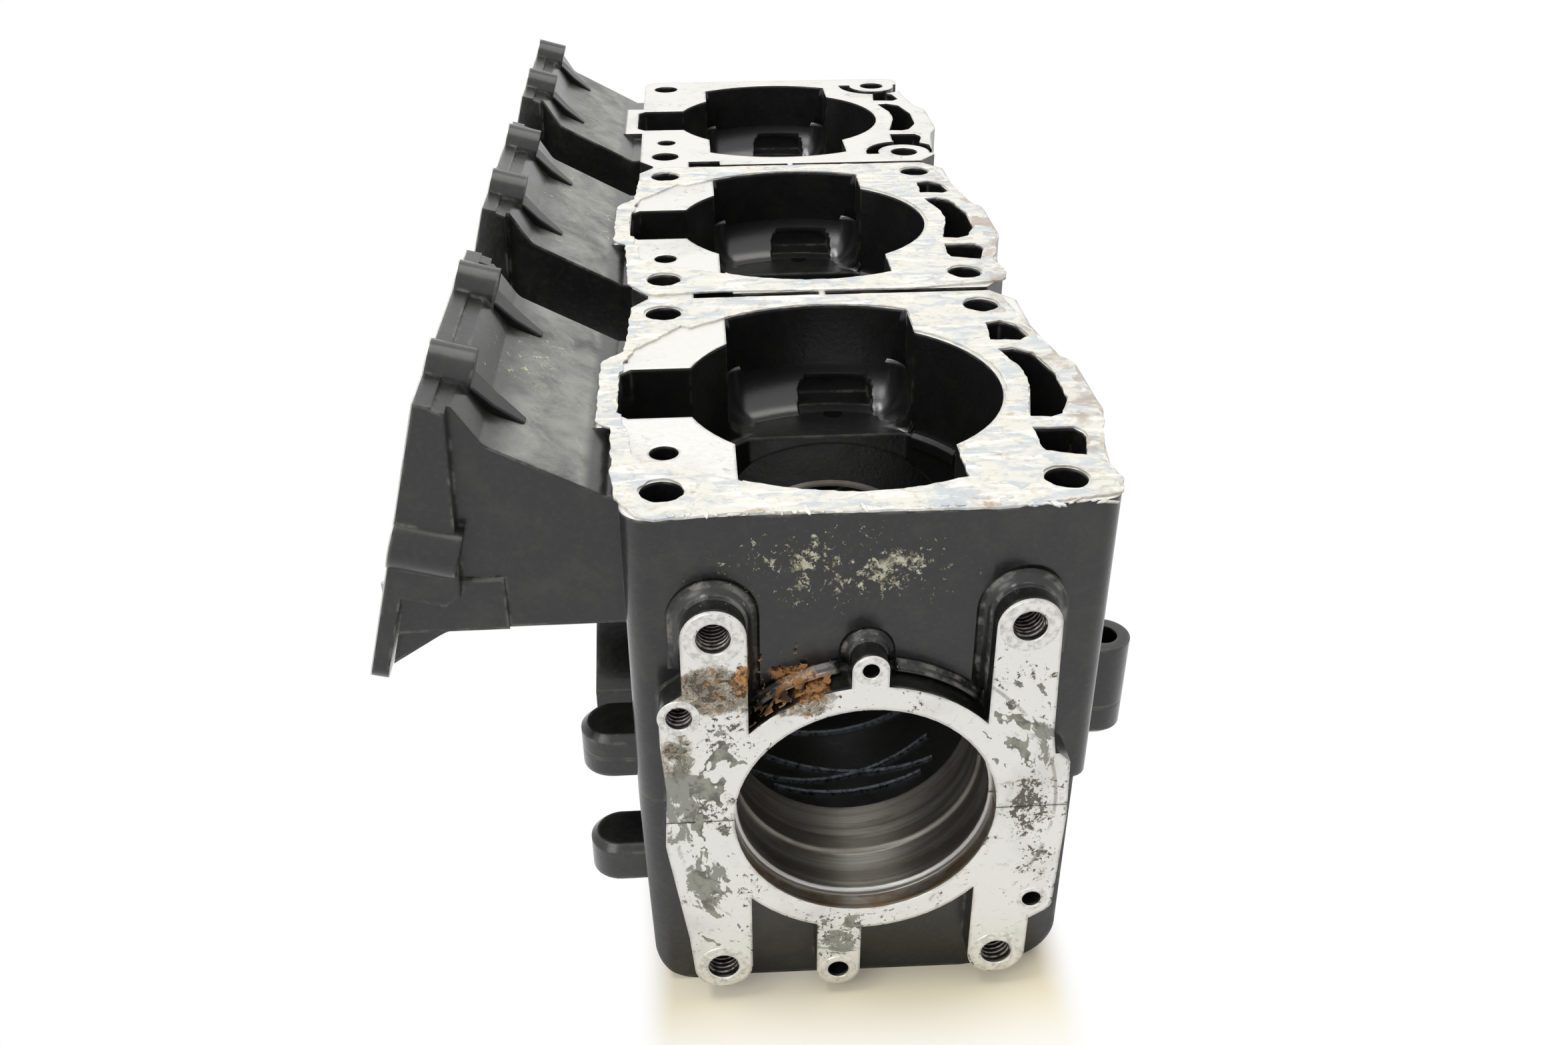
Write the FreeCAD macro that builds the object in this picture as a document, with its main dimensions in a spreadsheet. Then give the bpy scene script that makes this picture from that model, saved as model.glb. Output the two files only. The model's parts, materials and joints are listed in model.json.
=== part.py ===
import FreeCAD
import Part
import math
import os
import re

from FreeCAD import Placement, Rotation, Vector

# Crankcase of a three-cylinder two-stroke engine, cast in two halves that part on the crank axis.
# X runs to the exhaust side, Y along the crank from the front face, Z up; the origin is the crank
# axis on the machined front face. Millimetres.

dimensions = {
    # cylinder decks
    "cylinder_count": 3,
    "bore_pitch": 139,
    "first_bore": 76.5,
    "deck_height": 85.6,
    "spigot_radius": 44,
    "throat_radius": 42,
    "throat_half_width": 34.5,
    "pocket_radius": 59,
    "pocket_left": 30.5,
    "pocket_right": 25.5,
    "shelf_height": 52.7,
    "pocket_foot": 8,
    "slot_inner": 38,
    "slot_outer": 61,
    "slot_half_width": 15.5,
    "slot_depth": 36,
    "stud_side": 49,
    "stud_along": 55.3,
    "stud_hole": 10.8,
    "stud_depth": 30,
    "pulse_hole": 7.5,
    # outside of the body
    "body_left": 59,
    "body_right": 61,
    "body_front": 8,
    "lower_inset": 4,
    "bevel_limit": 3,
    "body_depth": 67,
    "bottom_right": 57,
    "bottom_corner": 13,
    "slot_bulge": 9.5,
    "bulge_half_width": 20,
    "gallery_out": 67.7,
    "gallery_depth": 36,
    "deck_slit": 3,
    # crank line
    "chamber_radius": 50,
    "chamber_half_width": 36.5,
    "seat_radius": 34,
    "lip_radius": 33.3,
    # machined faces at both ends
    "ring_radius": 41,
    "ear_side": 38,
    "ear_top": 57.3,
    "ear_bottom": 53.5,
    "ear_radius": 8,
    "ear_tapping": 8.5,
    "rear_ear_tapping": 6.8,
    "ear_tapped_depth": 18,
    # intake ducts
    "duct_near": 51.5,
    "duct_far": 42,
    "duct_floor": 46,
    "duct_wall": 5,
    "flange_tilt": 15.1,
    "flange_height": 80.6,
    "flange_thickness": 4.5,
    "flange_foot_side": 125.5,
    "flange_foot_height": 33.3,
    "flange_bolt_radius": 3.4,
    "flange_boss_radius": 6.8,
    # lugs and fasteners of the split
    "lug_radius": 8.7,
    "right_lug_radius": 7.8,
    "left_lug_side": 66,
    "left_lug_along": 34.5,
    "right_lug_side": 72,
    "right_lug_along": 46.5,
    "lug_hole": 8.5,
    "main_bolt": 10,
    "main_bolt_side": 42.5,
    "main_bolt_head": 14,
    "main_bolt_hole": 10.6,
    "main_bolt_front": 27.5,
    "main_bolt_top": 28,
    "main_bolt_seat": 56,
    "main_bolt_head_height": 8,
    "dowel_radius": 3,
    "dowel_side": 53,
    "dowel_along": 16,
    "dowel_length": 14,
    "gasket_thickness": 0.6,
    "underside_wall": 6,
}

doc = FreeCAD.newDocument("crankcase")
sheet = doc.addObject("Spreadsheet::Sheet", "Sizes")
for line, (alias, number) in enumerate(dimensions.items(), start=1):
    sheet.set("A%d" % line, alias)
    sheet.set("B%d" % line, str(number))
    sheet.setAlias("B%d" % line, alias)
doc.recompute()

size = {alias: float(sheet.get(alias)) for alias in dimensions}
cylinders = range(int(size["cylinder_count"]))
alias_pattern = re.compile(r"\b(" + "|".join(dimensions) + r")\b")


def bind(item, formulas):
    """Tie properties of an object to the sheet."""
    for path, formula in formulas.items():
        item.setExpression(path, alias_pattern.sub(r"Sizes.\1", str(formula)))
    return item


def place(item, x=0, y=0, z=0):
    return bind(item, {"Placement.Base.x": x, "Placement.Base.y": y, "Placement.Base.z": z})


def block(name, corner, lengths):
    """A box from its lowest corner and its three edges."""
    item = doc.addObject("Part::Box", name)
    bind(item, {"Length": lengths[0], "Width": lengths[1], "Height": lengths[2]})
    return place(item, *corner)


directions = {
    "x": Rotation(Vector(0, 0, 1), Vector(1, 0, 0)),
    "y": Rotation(Vector(0, 0, 1), Vector(0, 1, 0)),
    "z": Rotation(),
}


def rod(name, centre, radius, length, along="z"):
    """A cylinder from the centre of its first end."""
    item = doc.addObject("Part::Cylinder", name)
    item.Placement = Placement(Vector(), directions[along])
    bind(item, {"Radius": radius, "Height": length})
    return place(item, *centre)


def shaped(name, shape, x=0, y=0, z=0):
    """A form that primitives don't give, made at the origin and then put in its place."""
    item = doc.addObject("Part::Feature", name)
    item.Shape = Part.Compound([shape])
    return place(item, x, y, z)


def fuse(name, items):
    item = doc.addObject("Part::MultiFuse", name)
    item.Shapes = items
    return item


def cut(name, base, tools):
    item = doc.addObject("Part::Cut", name)
    item.Base = base
    item.Tool = fuse(name + "_tools", tools)
    return item


def common(name, items):
    item = doc.addObject("Part::MultiCommon", name)
    item.Shapes = items
    return item


def rounded_wire(corners):
    """A closed outline through corners (a, b, radius) in the XY plane, each corner rounded by an arc."""
    points = [Vector(a, b, 0) for a, b, radius in corners]
    count = len(points)
    edges = []
    starts = []
    ends = []
    arcs = []
    for i, (a, b, radius) in enumerate(corners):
        here = points[i]
        back = (points[i - 1] - here).normalize()
        ahead = (points[(i + 1) % count] - here).normalize()
        half = back.getAngle(ahead) / 2
        if radius == 0 or half > 1.56:
            starts.append(here)
            ends.append(here)
            arcs.append(None)
            continue
        reach = radius / math.tan(half)
        first = here + back * reach
        last = here + ahead * reach
        if radius <= size["bevel_limit"]:
            starts.append(first)
            ends.append(last)
            arcs.append(Part.LineSegment(first, last).toShape())
            continue
        middle = here + (back + ahead).normalize() * (radius / math.sin(half) - radius)
        starts.append(first)
        ends.append(last)
        arcs.append(Part.Arc(first, middle, last).toShape())
    for i in range(count):
        if arcs[i]:
            edges.append(arcs[i])
        following = starts[(i + 1) % count]
        if ends[i].distanceToPoint(following) > 1e-6:
            edges.append(Part.LineSegment(ends[i], following).toShape())
    return Part.Wire(edges)


def standing(corners, height):
    """A prism along Z on an outline (x, y, radius)."""
    return Part.Face(rounded_wire(corners)).extrude(Vector(0, 0, height))


def lengthwise(corners, length):
    """A prism along Y on an outline (x, z, radius)."""
    shape = Part.Face(rounded_wire(corners)).extrude(Vector(0, 0, -length))
    shape.rotate(Vector(), Vector(1, 0, 0), 90)
    return shape


def row(number):
    """Where a cylinder's axis stands along the crank, as a formula."""
    return "first_bore + %d * bore_pitch" % number


first_row = size["first_bore"]
last_row = first_row + (len(cylinders) - 1) * size["bore_pitch"]
body_back = last_row + first_row - size["body_front"]
end_face = last_row + first_row
back_face = "2 * first_bore + (cylinder_count - 1) * bore_pitch"
webs = range(len(cylinders) - 1)


# Body


def footprint(height):
    """Outline of both castings from above, with a shallow notch on each side between the decks."""
    left = -size["body_left"]
    right = size["body_right"]
    front = size["body_front"]
    corners = [(left, front, 7), (-30, front + 1, 0), (30, front, 0), (right, front + 3, 5)]
    for number in webs:
        middle = first_row + (number + 0.5) * size["bore_pitch"]
        corners += [(right, middle - 10, 0), (right - 8, middle, 2), (right, middle + 10, 0)]
    corners += [(right, body_back, 5), (left, body_back, 7)]
    for number in reversed(webs):
        middle = first_row + (number + 0.5) * size["bore_pitch"]
        corners += [(left, middle + 8, 0), (left + 6, middle, 2), (left, middle - 8, 0)]
    return standing(corners, height)


def lower_section():
    """Section of the lower casting across the crank, drawn in below the split."""
    left = -size["body_left"]
    depth = -size["body_depth"]
    corner = size["bottom_corner"]
    return [
        (left, 0, 0),
        (left + 2.5, depth, corner),
        (size["bottom_right"], depth, corner),
        (size["body_right"] - size["lower_inset"], 0, 0),
    ]


top_pin_height = 45.9
low_pin_side = -6.2
low_pin_depth = 57


def end_plate(pins):
    """The machined face round the crank bore: a ring, four ears and the pads between them.

    pins adds the two small bosses over and under the ring.
    """
    side = size["ear_side"]
    top = size["ear_top"]
    bottom = -size["ear_bottom"]
    ear = size["ear_radius"]
    edge = 52
    inner = side - ear
    pieces = []

    def bar(corners):
        pieces.append(Part.Face(rounded_wire(corners)))

    def disc(x, z, radius):
        circle = Part.Circle(Vector(x, z, 0), Vector(0, 0, 1), radius)
        pieces.append(Part.Face(Part.Wire(circle.toShape())))

    disc(0, 0, size["ring_radius"])
    for x in (-side, side):
        disc(x, top, ear)
        disc(x, bottom, ear)
    bar([(-side - ear, top, 0), (-side - ear, 41, 0), (-edge, 37, 5), (-edge, 25, 0), (-edge + 1, 10, 0),
         (-edge, -8, 0), (-side - ear - 1, -42, 0), (-side - ear, bottom, 0), (-inner, bottom, 0),
         (-inner, -25, 0), (-10, -10, 0), (-10, 10, 0), (-inner, 25, 0), (-inner, top, 0)])
    bar([(inner, top, 0), (inner, 25, 0), (10, 10, 0), (10, -10, 0), (inner, -25, 0), (inner, bottom, 0),
         (side + ear, bottom, 0), (side + ear, -41, 0), (edge, -37, 4), (edge + 1, -4, 0),
         (edge, 17.3, 3), (side + ear + 2, 17.3, 0), (side + ear + 1, 24, 0), (side + ear, top, 0)])
    if pins:
        for x, z, radius in ((0, top_pin_height, 4.6), (low_pin_side, -low_pin_depth, 6)):
            root = math.copysign(36, z)
            disc(x, z, radius)
            bar([(x - radius, z, 0), (x - radius, root, 0), (x + radius, root, 0), (x + radius, z, 0)])
    flat = pieces[0].multiFuse(pieces[1:]).removeSplitter()
    flat.rotate(Vector(), Vector(1, 0, 0), 90)
    return flat.extrude(Vector(0, size["body_front"] + 4, 0))


def half_space(name, upper):
    """A large block over or under the split."""
    reach = 400
    item = doc.addObject("Part::Box", name)
    bind(item, {"Length": 2 * reach, "Width": "2 * %d + 2 * bore_pitch" % reach, "Height": reach})
    return place(item, -reach, -reach, 0 if upper else -reach)


front_plate = shaped("front_plate", end_plate(True))
rear_plate = shaped("rear_plate", end_plate(False).mirror(Vector(), Vector(0, 1, 0)), y=back_face)


# Intake ducts, built round a cylinder whose axis stands at the origin


def flange_placement():
    """Local X goes into the duct, Z climbs the flange from its foot."""
    foot = Vector(-size["flange_foot_side"], 0, size["flange_foot_height"])
    return Placement(foot, Rotation(Vector(0, 1, 0), size["flange_tilt"]))


def flange_bosses():
    """Bosses on the back of the flange for the reed block's bolts, (along, up, length)."""
    middle = (size["duct_far"] - size["duct_near"]) / 2
    top = size["flange_height"] - 1.2
    side = (size["duct_far"] + size["duct_near"]) / 2 + 1.5
    return [
        (middle - 27, top, 11.5),
        (middle + 27, top, 11.5),
        (middle - side, 42, 16.5),
        (middle + side, 42, 16.5),
    ]


def duct_outside():
    near = -size["duct_near"]
    far = size["duct_far"]
    height = size["flange_height"]
    thick = size["flange_thickness"]
    tilt = flange_placement()
    floor = size["duct_floor"]
    deck = size["deck_height"]
    join = -size["body_left"] + 4
    side_view = [(join, floor, 0), (-104, floor, 12), (-119.5, floor - 10, 0), (-100.5, deck + 23.4, 0),
                 (-96.5, deck + 22.4, 0), (-90.3, deck + 12.4, 5), (-62.3, deck - 2.6, 0), (join, deck - 2.6, 0)]
    funnel = lengthwise(side_view, far - near)
    funnel.translate(Vector(0, near, 0))
    plate_outline = [(near - 4, 0, 5), (far + 4, 0, 5), (far + 4, height, 0), (near - 4, height, 0)]
    flat = Part.Face(rounded_wire(plate_outline))
    flat.rotate(Vector(), Vector(1, 0, 0), 90)
    flat.rotate(Vector(), Vector(0, 0, 1), 90)
    parts = [flat.extrude(Vector(thick, 0, 0))]
    wedge_outline = [(0, 27, 0), (19.5, 27, 3), (7.5, height - 1, 0), (0, height, 0)]
    for wall in (near - 4, far - 1.5):
        wedge = lengthwise(wedge_outline, 5.5)
        wedge.translate(Vector(0, wall, 0))
        parts.append(wedge)
    for along, up, length in flange_bosses():
        parts.append(Part.makeCylinder(size["flange_boss_radius"], length, Vector(0, along, up), Vector(1, 0, 0)))
    rib = [(2, height - 8, 0), (16, height - 7, 0), (25, height - 26, 0), (2, height - 26, 0)]
    for along, up, length in flange_bosses()[:2]:
        web = lengthwise(rib, 5)
        web.translate(Vector(0, along - 2.5, 0))
        parts.append(web)
    for part in parts:
        part.Placement = tilt.multiply(part.Placement)
    step = Part.makeBox(30, 1.2, 15, Vector(-119, near - 1, floor))
    return funnel.multiFuse(parts + [step])


def duct_inside():
    """The passage from the reed flange to the slot, and the tapped holes of the flange."""
    near = -size["duct_near"] + size["duct_wall"]
    far = size["duct_far"] - size["duct_wall"]
    floor = size["duct_floor"] + size["duct_wall"]
    deck = size["deck_height"]
    roof = deck - 9.1
    mouth = Part.makeBox(25, 2 * size["slot_half_width"], roof - floor - 1,
                         Vector(-70, -size["slot_half_width"], floor + 1))
    wide_view = [(-66, floor + 1, 0), (-104, floor, 0), (-124, floor - 4, 0), (-118, deck + 16.4, 0),
                 (-93.5, deck + 8.4, 0), (-66, deck - 6.1, 0)]
    wide = lengthwise(wide_view, far - near)
    wide.translate(Vector(0, near, 0))
    tilt = flange_placement()
    holes = []
    for along, up, length in flange_bosses():
        hole = Part.makeCylinder(size["flange_bolt_radius"], 10, Vector(-1, along, up), Vector(1, 0, 0))
        hole.Placement = tilt.multiply(hole.Placement)
        holes.append(hole)
    return mouth.multiFuse([wide] + holes)


# Water gallery and bulges beside each cylinder, round an axis at the origin


def gallery():
    """The exhaust side's water gallery under the deck."""
    right = size["body_right"] - 4
    out = size["gallery_out"]
    outline = [(right, -60, 0), (right + 3, -60, 0), (out - 3.5, -30, 0), (out, -20, 6), (out, 10, 6),
               (out - 4, 18, 0), (right + 2, 55, 0), (right, 60, 0)]
    shape = standing(outline, size["gallery_depth"])
    shape.translate(Vector(0, 0, size["deck_height"] - size["gallery_depth"]))
    return shape


def bulge(upper):
    """The swelling round the slot and, below it, round the crank chamber on the intake side."""
    left = -size["body_left"]
    out = left - size["slot_bulge"]
    half = size["bulge_half_width"]
    if upper:
        view = [(left + 4, 0, 0), (out - 3.5, 0, 0), (out, 46, 0), (out, size["deck_height"], 0),
                (left + 4, size["deck_height"], 0)]
    else:
        view = [(left + 4, 0, 0), (left + 4, -40, 0), (left, -36, 0), (out - 3.5, -14, 6), (out - 3.5, 0, 0)]
    shape = lengthwise(view, 2 * half)
    shape.translate(Vector(0, -half, 0))
    return shape


def foot_curve(radius, steps):
    """Points of a quarter round at the foot of a wall, (distance from the wall, height)."""
    angles = [math.pi / 2 * step / steps for step in range(steps + 1)]
    return [(radius * (1 - math.sin(angle)), radius * (1 - math.cos(angle))) for angle in angles]


def pocket():
    """A pair of transfer pockets: a wider circle cut off straight on both sides, rounded at its foot."""
    left = -size["pocket_left"]
    right = size["pocket_right"]
    radius = size["pocket_radius"]
    low = size["shelf_height"]
    top = size["deck_height"] + 1
    curve = foot_curve(size["pocket_foot"], 3)
    outline = [Vector(0, 0, low)]
    outline += [Vector(radius - away, 0, low + up) for away, up in curve]
    outline += [Vector(radius, 0, top), Vector(0, 0, top), Vector(0, 0, low)]
    disc = Part.Face(Part.makePolygon(outline)).revolve(Vector(), Vector(0, 0, 1), 360)
    section = [(left + away, low + up, 0) for away, up in curve]
    section += [(left, top, 0), (right, top, 0)]
    section += [(right - away, low + up, 0) for away, up in reversed(curve)]
    strip = lengthwise(section, 2 * radius + 2)
    strip.translate(Vector(0, -radius - 1, 0))
    return disc.common(strip)


def catch_recess():
    """The arched recess over the bearing's oil hole at the foot of each transfer pocket."""
    low = size["shelf_height"]
    outline = [(-11.5, 0, 0), (-11.5, 7, 4), (11.5, 7, 4), (11.5, 0, 0)]
    shape = lengthwise(outline, 12)
    shape.translate(Vector(4, size["pocket_radius"] - 8, low + 1.2))
    return shape


def throat():
    """The opening from the spigot bore into the crank chamber."""
    disc = Part.makeCylinder(size["throat_radius"], size["shelf_height"] + 1, Vector())
    half = size["throat_half_width"]
    strip = Part.makeBox(120, 2 * half, 120, Vector(-60, -half, 0))
    return disc.common(strip)


def slot():
    """The boost slot between the spigot bore and the bulge."""
    half = size["slot_half_width"]
    outline = [(-size["slot_outer"], -half, 3), (-size["slot_inner"], -half, 0), (-size["slot_inner"], half, 0),
               (-size["slot_outer"], half, 3)]
    shape = standing(outline, size["slot_depth"] + 1)
    shape.translate(Vector(0, 0, size["deck_height"] - size["slot_depth"]))
    return shape


def water_passages():
    """Three water ways beside the bore on the exhaust side."""
    depth = 26
    crescent = [(47.4, -22.5, 0), (55, -23.5, 3), (59.8, -13, 9), (60.2, 4, 12), (56.8, 18.5, 4),
                (52, 22, 0), (47.6, 21, 0), (51.2, 8, 0), (51.6, 0, 0), (51.2, -5, 0)]
    rear = [(46.6, 28, 0), (55.5, 27, 0), (58.3, 30, 0), (56.6, 38.5, 4), (52.5, 42.4, 0), (48, 41.2, 0)]
    front = [(46.4, -38, 0), (47.3, -41.8, 0), (56.8, -44.6, 0), (59.6, -33, 3), (57.2, -29, 0),
             (46.8, -28.6, 0)]
    shapes = [standing(outline, depth + 1) for outline in (crescent, rear, front)]
    shape = shapes[0].multiFuse(shapes[1:])
    shape.translate(Vector(0, 0, size["deck_height"] - depth))
    return shape


def water_channels():
    """Shallow channels that wrap the exhaust side's stud bosses on a deck with no gasket."""
    depth = 9
    ring = Part.makeCylinder(15.5, depth + 1).cut(Part.makeCylinder(10.5, depth + 1))
    shapes = []
    for sense in (-1, 1):
        boss = ring.copy()
        boss.translate(Vector(size["stud_side"], sense * size["stud_along"], 0))
        keep = Part.makeBox(30, 22, depth + 1)
        keep.translate(Vector(size["stud_side"] - 18, sense * size["stud_along"] - 11 - sense * 9, 0))
        shapes.append(boss.common(keep))
    shape = shapes[0].fuse(shapes[1])
    shape.translate(Vector(0, 0, size["deck_height"] - depth))
    return shape


duct_out = duct_outside()
duct_in = duct_inside()
gallery_shape = gallery()
upper_bulge = bulge(True)
lower_bulge = bulge(False)
pocket_shape = pocket()
throat_shape = throat()
slot_shape = slot()
passages = water_passages()
channels = water_channels()
recess = catch_recess()


# Crank line


def crank_line():
    """Everything that is bored or cored along the crank, as tools for both castings."""
    tools = []
    half = "chamber_half_width"
    for number in cylinders:
        start = "%s - %s" % (row(number), half)
        tools.append(rod("chamber_%d" % number, (0, start, 0), "chamber_radius", "2 * " + half, "y"))
    length = "first_bore - %s" % half
    rings = [
        ("mouth", 0, 4.8, "seat_radius"),
        ("seal_groove", 4.8, 1.3, "seat_radius + 1.4"),
        ("seal_lip", 6.1, 1.9, "lip_radius"),
        ("bearing_seat", 8, 13.3, "seat_radius"),
        ("seat_band", 21.3, 5.9, "lip_radius"),
        ("inner_seat", 27.2, length + " - 27.2", "seat_radius"),
    ]
    for name, start, width, radius in rings:
        tools.append(rod("front_" + name, (0, start, 0), radius, width, "y"))
    tools.append(rod("rear_mouth", (0, back_face + " - 4.8", 0), "seat_radius", 4.8, "y"))
    tools.append(rod("rear_lip", (0, back_face + " - 8", 0), "lip_radius", 3.2, "y"))
    tools.append(rod("rear_seat", (0, "%s - (%s)" % (back_face, length), 0), "seat_radius", length + " - 8", "y"))
    for number in webs:
        start = "%s + %s" % (row(number), half)
        tools.append(rod("web_seat_%d" % number, (0, start, 0), "seat_radius", "bore_pitch - 2 * %s" % half, "y"))
    return tools


bored = fuse("crank_line", crank_line())


# Lugs along the split


def lug(centre_side, wall, radius, low, high):
    """A lug of round plan that grows out of a side wall."""
    sense = 1 if centre_side > 0 else -1
    disc = Part.makeCylinder(radius, high - low, Vector(centre_side, 0, low))
    near = wall - 8
    bridge = Part.makeBox(abs(centre_side) - near, 2 * radius, high - low, Vector(near, -radius, low))
    if sense < 0:
        bridge = bridge.mirror(Vector(), Vector(1, 0, 0))
    return disc.fuse(bridge).removeSplitter()


def soften(shape, height, width):
    """Bevel the edges of one level."""
    chosen = [edge for edge in shape.Edges
              if abs(edge.BoundBox.ZMin - height) < 0.01 and edge.BoundBox.ZLength < 0.01]
    return shape.makeChamfer(width, chosen)


left = -size["left_lug_side"]
right = size["right_lug_side"]
left_wall = size["body_left"]
right_wall = size["body_right"]
round_end = size["lug_radius"]
right_end = size["right_lug_radius"]
foot_low = -44
foot_high = -32.5
right_low = -10.6
left_upper_lug = soften(lug(left, left_wall, round_end, 0, 7.5), 7.5, 1.8)
left_lower_lug = lug(left, left_wall, round_end, -5.5, 0)
left_foot_lug = soften(lug(left, left_wall, round_end, foot_low, foot_high), foot_high, 1.8)
right_upper_lug = lug(right, right_wall, right_end, 0, 20.3)
right_lower_lug = soften(lug(right, right_wall, right_end, right_low, 0), right_low, 2.5)


def lug_rows():
    """Formulas of the lugs' places: one at each end wall and one at each web."""
    formulas = ["left_lug_along"]
    formulas += ["left_lug_along + %d * bore_pitch" % (number + 1) for number in webs]
    return formulas + [back_face + " - left_lug_along"]


def right_rows():
    return [formula.replace("left_lug_along", "right_lug_along") for formula in lug_rows()]


# Main bearing bolts, one pair in each web, and two dowels at opposite corners


def bolt_rows():
    rows = ["main_bolt_front"]
    rows += ["%s + bore_pitch / 2" % row(number) for number in webs]
    return rows + ["%s - main_bolt_front" % back_face]


bolt_places = [(side, formula) for formula in bolt_rows() for side in ("-main_bolt_side", "main_bolt_side")]
dowel_places = [("-dowel_side", "dowel_along"), ("dowel_side", back_face + " - dowel_along")]


def ear_holes(prefix, heights):
    """Tapped holes of the machined end faces."""
    tools = []
    for level in heights:
        for side in ("-ear_side", "ear_side"):
            name = "%s_ear_%d" % (prefix, len(tools))
            tools.append(rod(name + "_front", (side, -1, level), "ear_tapping / 2", "ear_tapped_depth + 1", "y"))
            tools.append(rod(name + "_rear", (side, back_face + " - ear_tapped_depth", level),
                             "rear_ear_tapping / 2", "ear_tapped_depth + 1", "y"))
    return tools


# Upper casting

upper_body = shaped("upper_body", footprint(size["deck_height"]))
upper_parts = [upper_body]
for number in cylinders:
    upper_parts.append(shaped("duct_%d" % number, duct_out, y=row(number)))
    upper_parts.append(shaped("gallery_%d" % number, gallery_shape, y=row(number)))
    upper_parts.append(shaped("upper_bulge_%d" % number, upper_bulge, y=row(number)))
upper_parts.append(common("upper_front_plate", [front_plate, half_space("above_front", True)]))
upper_parts.append(common("upper_rear_plate", [rear_plate, half_space("above_rear", True)]))
for number, formula in enumerate(lug_rows()):
    upper_parts.append(shaped("left_upper_lug_%d" % number, left_upper_lug, y=formula))
for number, formula in enumerate(right_rows()):
    upper_parts.append(shaped("right_upper_lug_%d" % number, right_upper_lug, y=formula))
upper_blank = fuse("upper_blank", upper_parts)

upper_tools = [bored]
for number in cylinders:
    here = row(number)
    deep = "deck_height - shelf_height + 1"
    upper_tools.append(rod("spigot_%d" % number, (0, here, "shelf_height"), "spigot_radius", deep))
    upper_tools.append(shaped("pocket_%d" % number, pocket_shape, y=here))
    upper_tools.append(shaped("throat_%d" % number, throat_shape, y=here))
    upper_tools.append(shaped("slot_%d" % number, slot_shape, y=here))
    upper_tools.append(shaped("duct_passage_%d" % number, duct_in, y=here))
    upper_tools.append(shaped("passages_%d" % number, passages, y=here))
    upper_tools.append(shaped("recess_%d" % number, recess, y=here))
    for side in (-1, 1):
        for end in (-1, 1):
            name = "stud_%d_%d_%d" % (number, side + 1, end + 1)
            centre = ("%d * stud_side" % side, "%s + %d * stud_along" % (here, end), "deck_height - stud_depth")
            upper_tools.append(rod(name, centre, "stud_hole / 2", "stud_depth + 1"))
    upper_tools.append(rod("pulse_%d" % number, ("-48.5", here + " - 35.3", "deck_height - 12"),
                           "pulse_hole / 2", 13))
upper_tools.append(shaped("channels", channels, y=row(len(cylinders) - 1)))
for number in webs:
    middle = "%s + bore_pitch / 2 - deck_slit / 2" % row(number)
    upper_tools.append(block("deck_slit_right_%d" % number, (2, middle, "deck_height - 14"), (80, "deck_slit", 15)))
    upper_tools.append(block("deck_slit_left_%d" % number, (-38, middle, "deck_height - 14"), (38, "deck_slit", 15)))
    upper_tools.append(block("deck_window_%d" % number, (-39.6, middle + " - 1", "deck_height - 14"), (12.5, 9, 15)))
upper_tools += ear_holes("upper", ["ear_top"])
upper_tools.append(rod("top_pin_hole", (0, -1, top_pin_height), 2.1, 9, "y"))
upper_tools.append(rod("side_tapped_hole", (-47, -1, 33.9), 3.3, 15, "y"))
for number, formula in enumerate(right_rows()):
    upper_tools.append(rod("right_lug_hole_%d" % number, ("right_lug_side", formula, -1), "lug_hole / 2", 25))
for number, (side, formula) in enumerate(bolt_places):
    upper_tools.append(rod("bolt_thread_%d" % number, (side, formula, -1), "main_bolt / 2", "main_bolt_top + 5"))
for number, (side, formula) in enumerate(dowel_places):
    upper_tools.append(rod("dowel_seat_%d" % number, (side, formula, -1), "dowel_radius", "dowel_length / 2 + 1"))
upper_crankcase = cut("upper_crankcase", upper_blank, upper_tools)


# Lower casting

lower_block = footprint(size["body_depth"])
lower_block.translate(Vector(0, 0, -size["body_depth"]))
drawn = lengthwise(lower_section(), end_face)
lower_body = common("lower_body", [shaped("lower_block", lower_block), shaped("lower_profile", drawn)])
lower_parts = [lower_body]
for number in cylinders:
    lower_parts.append(shaped("lower_bulge_%d" % number, lower_bulge, y=row(number)))
lower_parts.append(common("lower_front_plate", [front_plate, half_space("below_front", False)]))
lower_parts.append(common("lower_rear_plate", [rear_plate, half_space("below_rear", False)]))
for number, formula in enumerate(lug_rows()):
    lower_parts.append(shaped("left_lower_lug_%d" % number, left_lower_lug, y=formula))
    lower_parts.append(shaped("left_foot_lug_%d" % number, left_foot_lug, y=formula))
for number, formula in enumerate(right_rows()):
    lower_parts.append(shaped("right_lower_lug_%d" % number, right_lower_lug, y=formula))
lower_blank = fuse("lower_blank", lower_parts)


def underside_pockets():
    """Hollows between the ribs under the lower casting, where the main bolts' heads sit."""
    wall = size["underside_wall"]
    depth = size["body_depth"] - size["main_bolt_seat"]
    side = size["main_bolt_side"] + 9.5
    edges = [10 + wall]
    for number in cylinders:
        centre = first_row + number * size["bore_pitch"]
        half = size["chamber_half_width"]
        edges += [centre - half, centre, centre + half]
    edges.append(end_face - 10 - wall)
    shapes = []
    for start, end in zip(edges, edges[1:]):
        length = end - start - wall
        shapes.append(Part.makeBox(2 * side, length, depth + 1,
                                   Vector(-side, start + wall / 2, -size["body_depth"] - 1)))
    return shapes[0].multiFuse(shapes[1:])


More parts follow.
